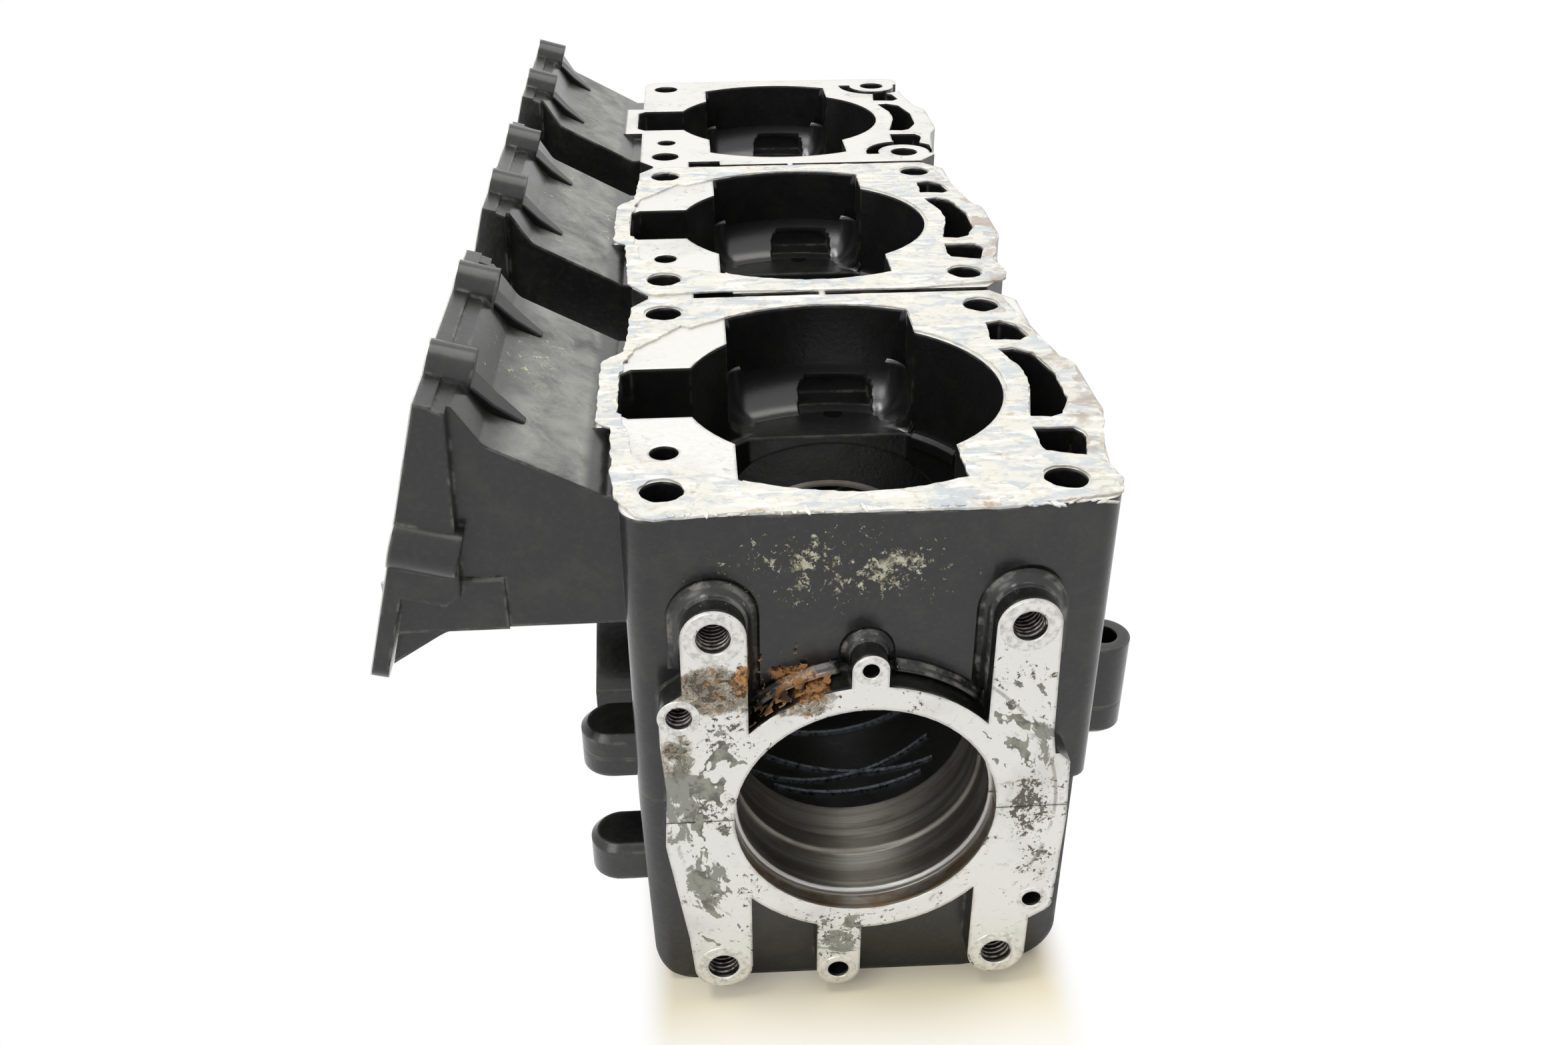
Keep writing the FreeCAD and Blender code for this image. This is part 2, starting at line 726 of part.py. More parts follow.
lower_tools = [bored, shaped("underside", underside_pockets())]
lower_tools += ear_holes("lower", ["-ear_bottom"])
lower_tools.append(rod("bottom_pin_hole", (low_pin_side, -1, -low_pin_depth), 2.9, 9, "y"))
lower_tools.append(rod("side_pin_hole", (46.3, -1, -33.6), 2.6, 9, "y"))
for number, formula in enumerate(right_rows()):
    lower_tools.append(rod("right_lug_bore_%d" % number, ("right_lug_side", formula, right_low - 1), "lug_hole / 2", 1 - right_low))
for number, (side, formula) in enumerate(bolt_places):
    lower_tools.append(rod("bolt_bore_%d" % number, (side, formula, "-body_depth"), "main_bolt_hole / 2",
                           "body_depth + 1"))
for number, (side, formula) in enumerate(dowel_places):
    lower_tools.append(rod("dowel_bore_%d" % number, (side, formula, "-dowel_length / 2"), "dowel_radius",
                           "dowel_length / 2 + 1"))
lower_crankcase = cut("lower_crankcase", lower_blank, lower_tools)


# Base gaskets that stayed on the front and middle decks


def gasket_shape():
    """What is left of a base gasket: a frame round the bore, torn off inside beside the slot."""
    thick = size["gasket_thickness"]
    outline = [(-60.5, -58, 0), (-54, -69, 6), (-32, -67, 0), (0, -68, 0), (30, -68.8, 0), (61, -64, 4),
               (62.5, -57, 0), (61, -46, 0), (67, -20, 6), (67, 10, 0), (64, 16, 0), (59, 46, 0), (57, 62, 0),
               (53, 66.5, 0), (-52, 66.5, 0), (-58.5, 60, 0), (-60.5, 27, 0), (-66.5, 20, 3), (-66.5, -19, 3),
               (-62.5, -21, 0)]
    shape = standing(outline, thick)
    shape.translate(Vector(0, 0, size["deck_height"]))
    holes = []
    for side in (-1, 1):
        for end in (-1, 1):
            centre = Vector(side * size["stud_side"], end * size["stud_along"], size["deck_height"] - 1)
            holes.append(Part.makeCylinder(size["stud_hole"] / 2 + 0.4, 4, centre))
    outer = Part.makeCylinder(size["spigot_radius"] + 1, 4, Vector(0, 0, size["deck_height"] - 1))
    passage = passages.copy()
    torn = [(-58, -22, 0), (-56.5, -36, 0), (-53.5, -39, 0), (-29.5, -52, 0), (-20, -30, 0), (-20, 30, 0),
            (-30, 50.5, 0), (-41, 43.5, 0), (-44, 45, 0), (-57.5, 28, 0), (-60, 20, 0), (-59.6, -20, 0)]
    bare = standing(torn, 4)
    bare.translate(Vector(0, 0, size["deck_height"] - 1))
    return shape.cut(holes + [outer, passage, bare, pocket_shape, slot_shape])


gasket = gasket_shape()
base_gasket_front = shaped("base_gasket_front", gasket, y=row(0))
base_gasket_middle = shaped("base_gasket_middle", gasket, y=row(1))


# Fasteners


def bolt(name):
    """A hexagon bolt standing on its head, its shank's foot at the origin."""
    shank = rod(name + "_shank", (0, 0, 0), "main_bolt / 2", "main_bolt_seat + main_bolt_top")
    head = doc.addObject("Part::Prism", name + "_head")
    head.Polygon = 6
    bind(head, {"Circumradius": "main_bolt_head / 2 / cos(30)", "Height": "main_bolt_head_height"})
    place(head, z="-main_bolt_head_height")
    return fuse(name, [shank, head])


def group(name, items):
    """Equal pieces that share one node."""
    item = doc.addObject("Part::Compound", name)
    item.Links = items
    return item


bolts = []
for number, (side, formula) in enumerate(bolt_places):
    bolts.append(place(bolt("main_bolt_%d" % number), side, formula, "-main_bolt_seat"))
dowels = []
for number, (side, formula) in enumerate(dowel_places):
    dowels.append(rod("dowel_%d" % number, (side, formula, "-dowel_length / 2"), "dowel_radius", "dowel_length"))
main_bearing_bolts = group("main_bearing_bolts", bolts)
case_dowels = group("case_dowels", dowels)

nodes = [upper_crankcase, lower_crankcase, base_gasket_front, base_gasket_middle, main_bearing_bolts,
         case_dowels]

doc.recompute()
for item in doc.Objects:
    if "Invalid" in item.State or "Error" in item.State:
        raise RuntimeError("%s failed: %s" % (item.Name, item.State))
os.makedirs("parts", exist_ok=True)
for item in nodes:
    if item.Shape.isNull() or not item.Shape.isValid():
        raise RuntimeError("%s has no valid shape" % item.Label)
    item.Shape.exportStep("parts/%s.step" % item.Label)
    print("%-22s %2d solids %9.1f cm3" % (item.Label, len(item.Shape.Solids), item.Shape.Volume / 1000))
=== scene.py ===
import json
import math
import random

import bmesh
import bpy
from mathutils import Matrix, Vector, bvhtree, noise


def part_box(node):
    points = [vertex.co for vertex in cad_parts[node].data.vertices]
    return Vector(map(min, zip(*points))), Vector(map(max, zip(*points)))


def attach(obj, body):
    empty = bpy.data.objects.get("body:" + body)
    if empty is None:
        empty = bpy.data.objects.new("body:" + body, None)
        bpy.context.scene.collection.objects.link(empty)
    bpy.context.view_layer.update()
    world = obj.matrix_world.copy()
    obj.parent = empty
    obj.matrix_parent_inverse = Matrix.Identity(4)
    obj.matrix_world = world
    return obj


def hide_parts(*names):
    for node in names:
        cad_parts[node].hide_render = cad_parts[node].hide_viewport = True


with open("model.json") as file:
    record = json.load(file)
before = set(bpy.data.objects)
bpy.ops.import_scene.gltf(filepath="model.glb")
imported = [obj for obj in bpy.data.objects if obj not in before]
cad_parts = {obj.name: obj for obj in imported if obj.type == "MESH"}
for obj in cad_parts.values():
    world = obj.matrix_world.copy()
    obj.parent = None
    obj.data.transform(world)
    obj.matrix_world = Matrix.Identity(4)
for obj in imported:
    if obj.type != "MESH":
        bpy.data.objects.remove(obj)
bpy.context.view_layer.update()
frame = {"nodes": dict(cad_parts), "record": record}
print("frame loaded:", ", ".join(sorted(frame["nodes"])))

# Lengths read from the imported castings
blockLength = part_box("upper_crankcase")[1][1]
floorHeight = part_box("lower_crankcase")[0][2]
mountPlaces = {mount["name"]: mount["pos_m"] for mount in frame["record"]["mounts"]}
cylinderRows = [mountPlaces[name + "_deck_studs"][1] for name in ("front", "middle", "rear")]
deckHeight = mountPlaces["front_deck_studs"][2]
wallFront = 0.008  # the painted wall stands this far behind the machined front face


def addNode(tree, kind, settings=None, sockets=None):
    # Settings come first, then each socket gets its value or link
    made = tree.nodes.new(kind)
    for key, value in (settings or {}).items():
        setattr(made, key, value)
    given = sockets.items() if isinstance(sockets, dict) else enumerate(sockets or [])
    for key, value in given:
        if isinstance(value, bpy.types.NodeSocket):
            tree.links.new(value, made.inputs[key])
        elif value is not None:
            made.inputs[key].default_value = value
    return made


class Wire:
    # One socket, so that sums on it add Math nodes
    def __init__(self, material, socket):
        self.material = material
        self.socket = socket

    def maths(self, operation, first, second=None):
        return self.material.node("ShaderNodeMath", {"operation": operation}, [first, second])

    def __add__(self, other):
        return self.maths("ADD", self, other)

    def __sub__(self, other):
        return self.maths("SUBTRACT", self, other)

    def __rsub__(self, other):
        return self.maths("SUBTRACT", other, self)

    def __mul__(self, other):
        return self.maths("MULTIPLY", self, other)

    def __truediv__(self, other):
        return self.maths("DIVIDE", self, other)

    __radd__ = __add__
    __rmul__ = __mul__

    def most(self, other):
        return self.maths("MAXIMUM", self, other)

    def root(self):
        return self.maths("SQRT", self)

    def size(self):
        return self.maths("ABSOLUTE", self)


class Finish:
    # A material and the few nodes that every finish here is built from
    def __init__(self, name):
        self.look = bpy.data.materials.new(name)
        self.look.use_nodes = True
        self.tree = self.look.node_tree
        self.tree.nodes.clear()
        self.output = self.tree.nodes.new("ShaderNodeOutputMaterial")
        self.place = self.node("ShaderNodeTexCoord", out="Object")
        self.x = self.node("ShaderNodeSeparateXYZ", {}, [self.place], "X")
        self.y = self.node("ShaderNodeSeparateXYZ", {}, [self.place], "Y")
        self.z = self.node("ShaderNodeSeparateXYZ", {}, [self.place], "Z")

    def node(self, kind, settings=None, sockets=None, out=0):
        given = sockets if isinstance(sockets, dict) else dict(enumerate(sockets or []))
        plain = {key: value.socket if isinstance(value, Wire) else value for key, value in given.items()}
        return Wire(self, addNode(self.tree, kind, settings, plain).outputs[out])

    def rise(self, value, low, high):
        # 0 below low, 1 above high; low may be the larger
        settings = {"interpolation_type": "SMOOTHSTEP"}
        return self.node("ShaderNodeMapRange", settings, [value, low, high, 0.0, 1.0])

    def noise(self, scale, detail=4.0, rough=0.55, bend=0.0, where=None):
        sockets = {"Vector": where or self.place, "Scale": scale, "Detail": detail, "Roughness": rough,
                   "Distortion": bend}
        return self.node("ShaderNodeTexNoise", {}, sockets)

    def streaks(self, scales, detail, rough, bend=0.0, shift=(0.0, 0.0, 0.0)):
        # Noise with its own scale along each axis
        where = self.node("ShaderNodeMapping", {}, {"Vector": self.place, "Scale": scales, "Location": shift})
        return self.noise(1.0, detail, rough, bend, where)

    def mix(self, share, under, over):
        return self.node("ShaderNodeMix", {"data_type": "RGBA"}, {0: share, 6: under, 7: over}, 2)

    def spot(self, centre, reach, soft):
        # A rounded patch: 1 at its middle, 0 past its reach; None leaves an axis out
        total = None
        for axis, middle, half in zip((self.x, self.y, self.z), centre, reach):
            if middle is None:
                continue
            part = (axis - middle) / half
            part = part * part
            total = part if total is None else total + part
        return self.rise(total.root(), 1.0, 1.0 - soft)

    def spots(self, rows):
        # The strongest of several patches; a row is centre, reach, softness, strength
        total = None
        for centre, reach, soft, strength in rows:
            patch = self.spot(centre, reach, soft) * strength
            total = patch if total is None else total.most(patch)
        return total

    def finish(self, base, roughness, metallic=0.0, bump=None, depth=0.0002, bevel=None, specular=0.5,
               coat=0.0, coatRough=0.3):
        normal = bevel
        if isinstance(bevel, float):
            normal = self.node("ShaderNodeBevel", {"samples": 4}, {"Radius": bevel})
        if bump is not None:
            sockets = {"Strength": 1.0, "Distance": depth, "Height": bump, "Normal": normal}
            normal = self.node("ShaderNodeBump", {}, sockets)
        sockets = {"Base Color": base, "Roughness": roughness, "Metallic": metallic, "Normal": normal,
                   "Specular IOR Level": specular, "Coat Weight": coat, "Coat Roughness": coatRough}
        shader = self.node("ShaderNodeBsdfPrincipled", {}, sockets)
        self.tree.links.new(shader.socket, self.output.inputs["Surface"])
        return self.look


def colour(red, green, blue):
    return (red, green, blue, 1.0)


# Castings: black paint, machined aluminium, bored steel-grey seats, rust, sealant and chips
casting = {
    "paint": colour(0.006, 0.0065, 0.006),
    # light grey on the duct tops: partly dust, partly painted sheen
    "paintDust": colour(0.030, 0.031, 0.025),
    "topDust": colour(0.28, 0.285, 0.26),
    "wornEdge": colour(0.30, 0.29, 0.25),
    "metal": colour(0.80, 0.79, 0.75),
    "metalDull": colour(0.52, 0.51, 0.47),
    # scuffs, and the darker machined edges, which are partly painted shade
    "scuff": colour(0.24, 0.23, 0.19),
    "chip": colour(0.62, 0.60, 0.46),
    "chipDull": colour(0.22, 0.20, 0.13),
    "rust": colour(0.10, 0.045, 0.018),
    "rustPale": colour(0.48, 0.24, 0.08),
    "stain": colour(0.16, 0.125, 0.08),
    "stainPale": colour(0.42, 0.37, 0.28),
    "speck": colour(0.055, 0.045, 0.030),
    "sealant": colour(0.20, 0.205, 0.17),
    "seam": colour(0.02, 0.018, 0.015),
    "boreMetal": colour(0.37, 0.35, 0.31),
    "boreRing": colour(0.13, 0.12, 0.10),
    "boreBand": colour(0.11, 0.10, 0.08),
    "boreTarnish": colour(0.12, 0.09, 0.055),
    "boreFilm": colour(0.20, 0.115, 0.045),
    "boreRadius": 0.0362,
    "boreLip": (0.0060, 0.0070),
    "seatMark": 0.0495,
    "skin": 0.0002,
    "deckLeft": -0.066,
    "ductSide": -0.066,
    "flangeTilt": math.radians(15.1),
    "flangeReach": 0.12984,
    "edgeRadius": 0.0016,
    "specular": 0.40,
    "gloss": 0.5,
    "glossRough": 0.17,
    "reliefDepth": 0.00018,
}

# Where the castings are marked: centre, reach, softness and strength of each patch
marked = {
    "stain": [
        ((-0.039, 0.0, 0.042), (0.013, 0.01, 0.010), 0.5, 1.0),
        ((-0.020, 0.0, 0.038), (0.017, 0.01, 0.007), 0.6, 0.8),
        ((-0.0480, 0.0, 0.0215), (0.0065, 0.01, 0.012), 0.7, 0.8),
    ],
    "rust": [
        ((-0.0315, 0.0, 0.0445), (0.004, 0.03, 0.009), 0.8, 1.0),
        ((-0.018, 0.004, 0.0395), (0.013, 0.03, 0.0050), 0.7, 1.0),
    ],
    "speckled": [
        ((0.043, 0.0, 0.0), (0.009, 0.01, 0.019), 0.8, 1.0),
        ((-0.036, 0.0, 0.028), (0.012, 0.01, 0.012), 0.7, 0.7),
        ((-0.042, 0.0, 0.004), (0.008, 0.01, 0.012), 0.8, 0.8),
        ((0.046, 0.0, -0.018), (0.008, 0.01, 0.014), 0.8, 0.7),
        ((-0.008, 0.0, -0.041), (0.036, 0.01, 0.010), 0.6, 0.55),
        ((0.0355, 0.0, 0.0335), (0.003, 0.01, 0.003), 0.8, 1.0),
    ],
    "sealant": [
        ((-0.047, 0.0, 0.008), (0.009, 0.01, 0.024), 0.6, 1.0),
        ((-0.042, 0.0, -0.022), (0.008, 0.01, 0.016), 0.6, 1.0),
        ((-0.006, 0.0, -0.046), (0.007, 0.01, 0.008), 0.6, 1.0),
        ((0.046, 0.0, 0.022), (0.009, 0.01, 0.016), 0.7, 0.7),
    ],
    "chipped": [
        ((-0.016, 0.008, 0.070), (0.008, 0.02, 0.015), 0.8, 1.0),
        ((0.006, 0.008, 0.070), (0.014, 0.02, 0.012), 0.8, 1.0),
        ((-0.008, 0.008, 0.070), (0.045, 0.02, 0.017), 0.6, 0.6),
        ((-0.085, cylinderRows[0], 0.09), (0.03, 0.05, 0.03), 0.8, 0.45),
        ((-0.085, cylinderRows[1], 0.09), (0.03, 0.05, 0.03), 0.8, 0.35),
    ],
    # painted shade inside each cylinder opening
    "sheltered": [((0.0, row, None), (0.0605, 0.0605, None), 0.02, 1.0) for row in cylinderRows],
}


def castingLook(name):
    made = Finish(name)
    x, y, z = made.x, made.y, made.z
    facing = made.node("ShaderNodeNewGeometry", out="Normal")
    up = made.node("ShaderNodeSeparateXYZ", {}, [facing], "Z")
    along = made.node("ShaderNodeSeparateXYZ", {}, [facing], "Y")
    coarse = made.noise(38.0, 5.0, 0.6)
    medium = made.noise(140.0, 5.0, 0.6)
    fine = made.noise(620.0, 4.0, 0.6)
    blotch = made.noise(64.0, 6.0, 0.68, 0.4)
    scuffed = made.noise(230.0, 6.0, 0.75, 0.8)
    pits = made.noise(760.0, 4.0, 0.7)
    grime = made.noise(210.0, 6.0, 0.78, 0.6)
    away = (x * x + z * z).root()

    # Machined faces, each a skin deep, and the line bored through the webs
    skin = casting["skin"]
    deck = made.rise(z, deckHeight - skin * 2, deckHeight - skin) * made.rise(up, 0.85, 0.95)
    deck = deck * made.rise(x, casting["deckLeft"] - 0.0005, casting["deckLeft"] + 0.0005)
    front = made.rise(y, skin * 2, skin) * made.rise(along, -0.85, -0.95)
    rear = made.rise(y, blockLength - skin * 2, blockLength - skin)
    tilt = casting["flangeTilt"]
    reach = z * math.sin(tilt) - x * math.cos(tilt)
    flange = made.rise(reach, casting["flangeReach"] - skin * 2, casting["flangeReach"] - skin)
    split = made.rise(z.size(), skin, skin / 2) * made.rise(up.size(), 0.85, 0.95)
    flat = deck.most(front).most(rear).most(flange).most(split)
    bore = made.rise(away, casting["boreRadius"] + skin, casting["boreRadius"])
    painted = (1 - flat) * (1 - bore)
    bored = bore * (1 - flat)

    # Bare metal: fine tool marks, dull patches, pits, and edges darkened partly by dirt and partly as painted
    # shade
    marks = made.streaks((70.0, 900.0, 900.0), 3.0, 0.5)
    bare = made.mix(made.rise(coarse, 0.48, 0.72) * 0.45, casting["metal"], casting["metalDull"])
    bare = made.mix(made.rise(fine, 0.62, 0.75) * 0.4, bare, casting["metalDull"])
    rubbed = made.rise(scuffed, 0.56, 0.68) * made.rise(coarse, 0.40, 0.56)
    bare = made.mix(rubbed * 0.6, bare, casting["scuff"])
    rounded = made.node("ShaderNodeBevel", {"samples": 4}, {"Radius": casting["edgeRadius"]})
    same = made.node("ShaderNodeVectorMath", {"operation": "DOT_PRODUCT"}, [rounded, facing], "Value")
    edge = made.rise(same, 0.985, 0.90)
    # Darker rims along the machined edges: partly dirt, partly painted shade
    bare = made.mix(edge * made.rise(medium, 0.44, 0.60) * 0.6, bare, casting["scuff"])

    # Brown stain and rust between the upper left ear and the bore, dark specks round the split
    stain = made.spots(marked["stain"])
    handled = made.rise(blotch, 0.48, 0.62)
    stained = made.rise(grime + stain * 0.36 + handled * 0.085, 0.60, 0.80) * front
    rusted = made.rise(grime * 0.7 + pits * 0.3 + made.spots(marked["rust"]) * 0.32, 0.68, 0.76)
    speckled = made.spots(marked["speckled"]).most(stain * 0.7).most(handled * 0.52)
    specked = made.rise(pits * 0.5 + grime * 0.5 + speckled * 0.135, 0.605, 0.63) * front
    dirt = stained.most(rusted * front).most(specked)
    orange = made.mix(made.rise(pits, 0.42, 0.60), casting["rustPale"], casting["rust"])
    brown = made.mix(made.rise(pits, 0.44, 0.58), casting["stain"], casting["stainPale"])
    bare = made.mix(stained * 0.9, bare, brown)
    bare = made.mix(rusted * front, bare, orange)
    bare = made.mix(specked * 0.9, bare, casting["speck"])

    # Old sealant, smeared round the bore, and the edge left by the cover that sat here
    turnedBy = made.node("ShaderNodeMath", {"operation": "ARCTAN2"}, [z, x])
    polar = made.node("ShaderNodeCombineXYZ", {}, [turnedBy * 0.032, away * 1.3, 0.0])
    smear = made.noise(190.0, 6.0, 0.68, 0.8, polar)
    wipe = made.rise(smear + made.spots(marked["sealant"]) * 0.22, 0.665, 0.70) * front
    bare = made.mix(wipe * 0.85, bare, casting["sealant"])
    seatMark = made.rise((away - casting["seatMark"]).size(), 0.0007, 0.0002) * front
    bare = made.mix(seatMark * made.rise(blotch, 0.47, 0.54) * 0.6, bare, casting["scuff"])

    # Bore: turned rings and bands, brown film and a bright lip
    rings = made.streaks((10.0, 1500.0, 10.0), 2.0, 0.5)
    turned = made.mix(made.rise(rings, 0.35, 0.7) * 0.35, casting["boreMetal"], casting["boreRing"])
    bands = made.streaks((8.0, 150.0, 8.0), 2.0, 0.5)
    turned = made.mix(made.rise(bands, 0.46, 0.56) * 0.65, turned, casting["boreBand"])
    tarnish = made.streaks((60.0, 190.0, 60.0), 4.0, 0.6)
    turned = made.mix(made.rise(tarnish, 0.45, 0.70) * 0.5, turned, casting["boreTarnish"])
    film = made.rise(y.size(), 0.0064, 0.0048) * made.rise(medium, 0.36, 0.62)
    turned = made.mix(film * 0.7, turned, casting["boreFilm"])
    lipStart, lipEnd = casting["boreLip"]
    lip = made.rise(y, lipStart - 0.0001, lipStart + 0.0001) * made.rise(y, lipEnd + 0.0001, lipEnd - 0.0002)
    turned = made.mix(lip, turned, casting["metal"])

    # Paint: mottled, dusty on the ducts, chipped to bare metal and scratched; the light grey on the duct tops
    # is partly dust and partly painted sheen
    paint = made.mix(made.rise(blotch, 0.48, 0.72) * 0.6, casting["paint"], casting["paintDust"])
    paint = made.mix(made.rise(fine, 0.45, 0.75) * 0.35, paint, casting["paintDust"])
    onDuct = made.rise(x, casting["ductSide"], casting["ductSide"] - 0.003) * made.rise(z, 0.030, 0.040)
    behind = made.rise(reach, casting["flangeReach"] - 0.0150, casting["flangeReach"] - 0.0270)
    # Upward faces of the ducts behind the flange bosses: dust and painted sheen, lighter the more they face
    # up
    dustAndSheen = made.rise(up, 0.30, 0.80) * onDuct * behind
    paint = made.mix(dustAndSheen * made.rise(blotch + medium * 0.4, 0.30, 0.95), paint, casting["topDust"])
    scratch = made.noise(26.0, 2.0, 0.5, 1.6)
    scratch = made.rise((scratch - 0.5).size(), 0.0028, 0.0008) * made.rise(grime, 0.50, 0.58)
    paint = made.mix(scratch * dustAndSheen * 0.7, paint, casting["chip"])
    chipped = made.spots(marked["chipped"])
    speck = made.noise(480.0, 5.0, 0.8, 0.5) * 0.7 + medium * 0.3 + chipped * 0.15
    speck = made.rise(speck, 0.640, 0.660) * made.rise(chipped, 0.03, 0.2)
    flake = made.mix(made.rise(pits, 0.42, 0.60), casting["chip"], casting["chipDull"])
    paint = made.mix(speck * 0.85, paint, flake)
    paint = made.mix(rusted * made.rise(y, wallFront * 2, wallFront + 0.002), paint, orange)
    # Painted shade: inside the cylinder openings the paint goes to its darkest, with less edge wear and less
    # gloss
    sheltered = made.spots(marked["sheltered"])
    paint = made.mix(sheltered * 0.7, paint, casting["paint"])
    worn = edge * made.rise(medium, 0.46, 0.62) * (1 - sheltered * 0.6)
    paint = made.mix(worn * 0.6, paint, casting["wornEdge"])

    shade = made.mix(bore, paint, turned)
    shade = made.mix(flat, shade, bare)
    seam = made.rise(z.size(), 0.00022, 0.0001) * made.rise(up.size(), 0.5, 0.4)
    shade = made.mix(seam * 0.85, shade, casting["seam"])
    roughPaint = 0.31 + (medium - 0.5) * 0.25 + speck * 0.2 + dustAndSheen * 0.2
    roughBare = 0.36 + (fine - 0.5) * 0.3 + dirt * 0.35 + wipe * 0.3
    rough = roughPaint * painted + roughBare * flat + 0.33 * bored
    metallic = (0.75 * flat * (1 - dirt) * (1 - wipe)).most(0.8 * bored).most(speck * 0.3)
    relief = (fine * 0.5 + medium * 0.3) * painted + marks * 0.15 * flat
    relief = relief - speck * 0.5 + wipe * 0.6 + dirt * 0.3
    gloss = painted * (1 - dustAndSheen) * (1 - speck) * (1 - sheltered) * casting["gloss"]
    return made.finish(shade, rough, metallic, relief, casting["reliefDepth"], rounded, casting["specular"],
                       gloss, casting["glossRough"])


gasket = {
    "cream": colour(0.66, 0.65, 0.585),
    "blueGrey": colour(0.44, 0.48, 0.525),
    "stain": colour(0.36, 0.22, 0.10),
    "wet": colour(0.33, 0.27, 0.22),
    "pale": colour(0.80, 0.79, 0.73),
    "wetFrom": 0.046,
    "wetTo": 0.060,
    "longestEdge": 0.0016,
    "fray": 0.0005,
    "ripple": 0.00006,
    "layerCell": 0.00115,
    "layerThickness": 0.00012,
}


def gasketLook():
    made = Finish("baseGasket")
    clouds = made.streaks((80.0, 120.0, 80.0), 6.0, 0.66, 0.5)
    streaks = made.streaks((70.0, 300.0, 80.0), 5.0, 0.6, 0.2, (0.3, 0.1, 0.0))
    fine = made.noise(1300.0, 3.0, 0.6)
    tone = made.mix(made.rise(clouds, 0.46, 0.60) * 0.8, gasket["cream"], gasket["blueGrey"])
    tone = made.mix(made.rise(streaks, 0.50, 0.62) * 0.85, tone, gasket["pale"])
    stained = made.noise(95.0, 6.0, 0.72, 0.3)
    tone = made.mix(made.rise(stained, 0.575, 0.70) * 0.7, tone, gasket["stain"])
    freckled = made.rise(made.noise(420.0, 3.0, 0.6), 0.52, 0.66)
    tone = made.mix(freckled * 0.25, tone, gasket["stain"])
    wet = made.rise(made.x, gasket["wetFrom"], gasket["wetTo"])
    wet = wet * made.rise(made.noise(70.0, 6.0, 0.7, 0.6), 0.42, 0.60)
    tone = made.mix(wet * 0.75, tone, gasket["wet"])
    rough = 0.50 + (streaks - 0.5) * 0.3
    return made.finish(tone, rough, 0.1, streaks * 0.6 + fine * 0.3 + clouds * 0.3, 0.0002, 0.0003)


def paperLook():
    made = Finish("gasketPaper")
    streaks = made.streaks((90.0, 260.0, 80.0), 5.0, 0.6, 0.4, (0.1, 0.4, 0.0))
    fine = made.noise(1300.0, 3.0, 0.6)
    tone = made.mix(made.rise(streaks, 0.44, 0.60) * 0.8, gasket["cream"], gasket["blueGrey"])
    spots = made.noise(160.0, 6.0, 0.75, 0.3)
    tone = made.mix(made.rise(spots, 0.60, 0.70) * 0.6, tone, gasket["stain"])
    return made.finish(tone, 0.6, 0.0, streaks * 0.5 + fine * 0.4, 0.00015, 0.0002)


def steelLook(name, bright, dark):
    made = Finish(name)
    grain = made.noise(500.0, 4.0, 0.6)
    tone = made.mix(made.rise(grain, 0.4, 0.7), bright, dark)
    return made.finish(tone, 0.32 + grain * 0.2, 0.9, grain, 0.0001)


def paintLook(name, rough, coat=0.0):
    made = Finish(name)
    blotch = made.noise(64.0, 6.0, 0.68, 0.4)
    medium = made.noise(140.0, 5.0, 0.6)
    fine = made.noise(620.0, 4.0, 0.6)
    tone = made.mix(made.rise(blotch, 0.55, 0.75) * 0.5, casting["paint"], casting["paintDust"])
    rough = rough + (medium - 0.5) * 0.2
    relief = fine * 0.5 + medium * 0.3
    return made.finish(tone, rough, 0.0, relief, 0.00014, 0.0006, casting["specular"], coat)


def crustLook(name, pale, dark, rough, shine=0.5):
    made = Finish(name)
    blotch = made.noise(190.0, 6.0, 0.68, 0.4)
    fine = made.noise(900.0, 4.0, 0.6)
    tone = made.mix(made.rise(blotch, 0.42, 0.62), pale, dark)
    rough = rough + (fine - 0.5) * 0.3
    return made.finish(tone, rough, 0.0, fine * 0.6 + blotch * 0.5, 0.0003, specular=shine)


upperFinish = castingLook("upperCasting")
lowerFinish = castingLook("lowerCasting")
gasketFinish = gasketLook()
paperFinish = paperLook()
paintFinish = paintLook("blackPaint", 0.36)
glossFinish = paintLook("pocketPaint", 0.27)
footFinish = paintLook("footPaint", 0.24, 1.0)
steelFinish = steelLook("boltSteel", colour(0.30, 0.29, 0.27), colour(0.16, 0.13, 0.10))
threadFinish = steelLook("cutThread", colour(0.34, 0.32, 0.29), colour(0.07, 0.05, 0.04))
faceFinish = steelLook("machinedRim", casting["metal"], casting["metalDull"])
# The floor ridges get a light bluish steel that paints their highlight
ridgeHighlightFinish = steelLook("wornRidge", colour(0.30, 0.33, 0.37), colour(0.05, 0.05, 0.055))
# Near-black finish for the oil hole discs: painted shade
holeShadeFinish = crustLook("holeDark", colour(0.002, 0.002, 0.002), colour(0.004, 0.003, 0.003), 0.9, 0.05)
sealantFinish = crustLook("oldSealant", colour(0.30, 0.30, 0.25), colour(0.13, 0.135, 0.11), 0.6)
rustFinish = crustLook("rustCrust", colour(0.36, 0.175, 0.062), colour(0.040, 0.024, 0.014), 0.75)
looks = {"upper_crankcase": upperFinish, "lower_crankcase": lowerFinish}
for name, item in frame["nodes"].items():
    finish = looks.get(name, gasketFinish if "gasket" in name else steelFinish)
    if not item.material_slots:
        item.data.materials.append(finish)
    for slot in item.material_slots:
        slot.material = finish
print("finishes set on the castings, gaskets and fasteners")

# Each cylinder's row with -1 for its front side and 1 for its rear side
rowSides = [(centre, sense) for centre in cylinderRows for sense in (-1, 1)]


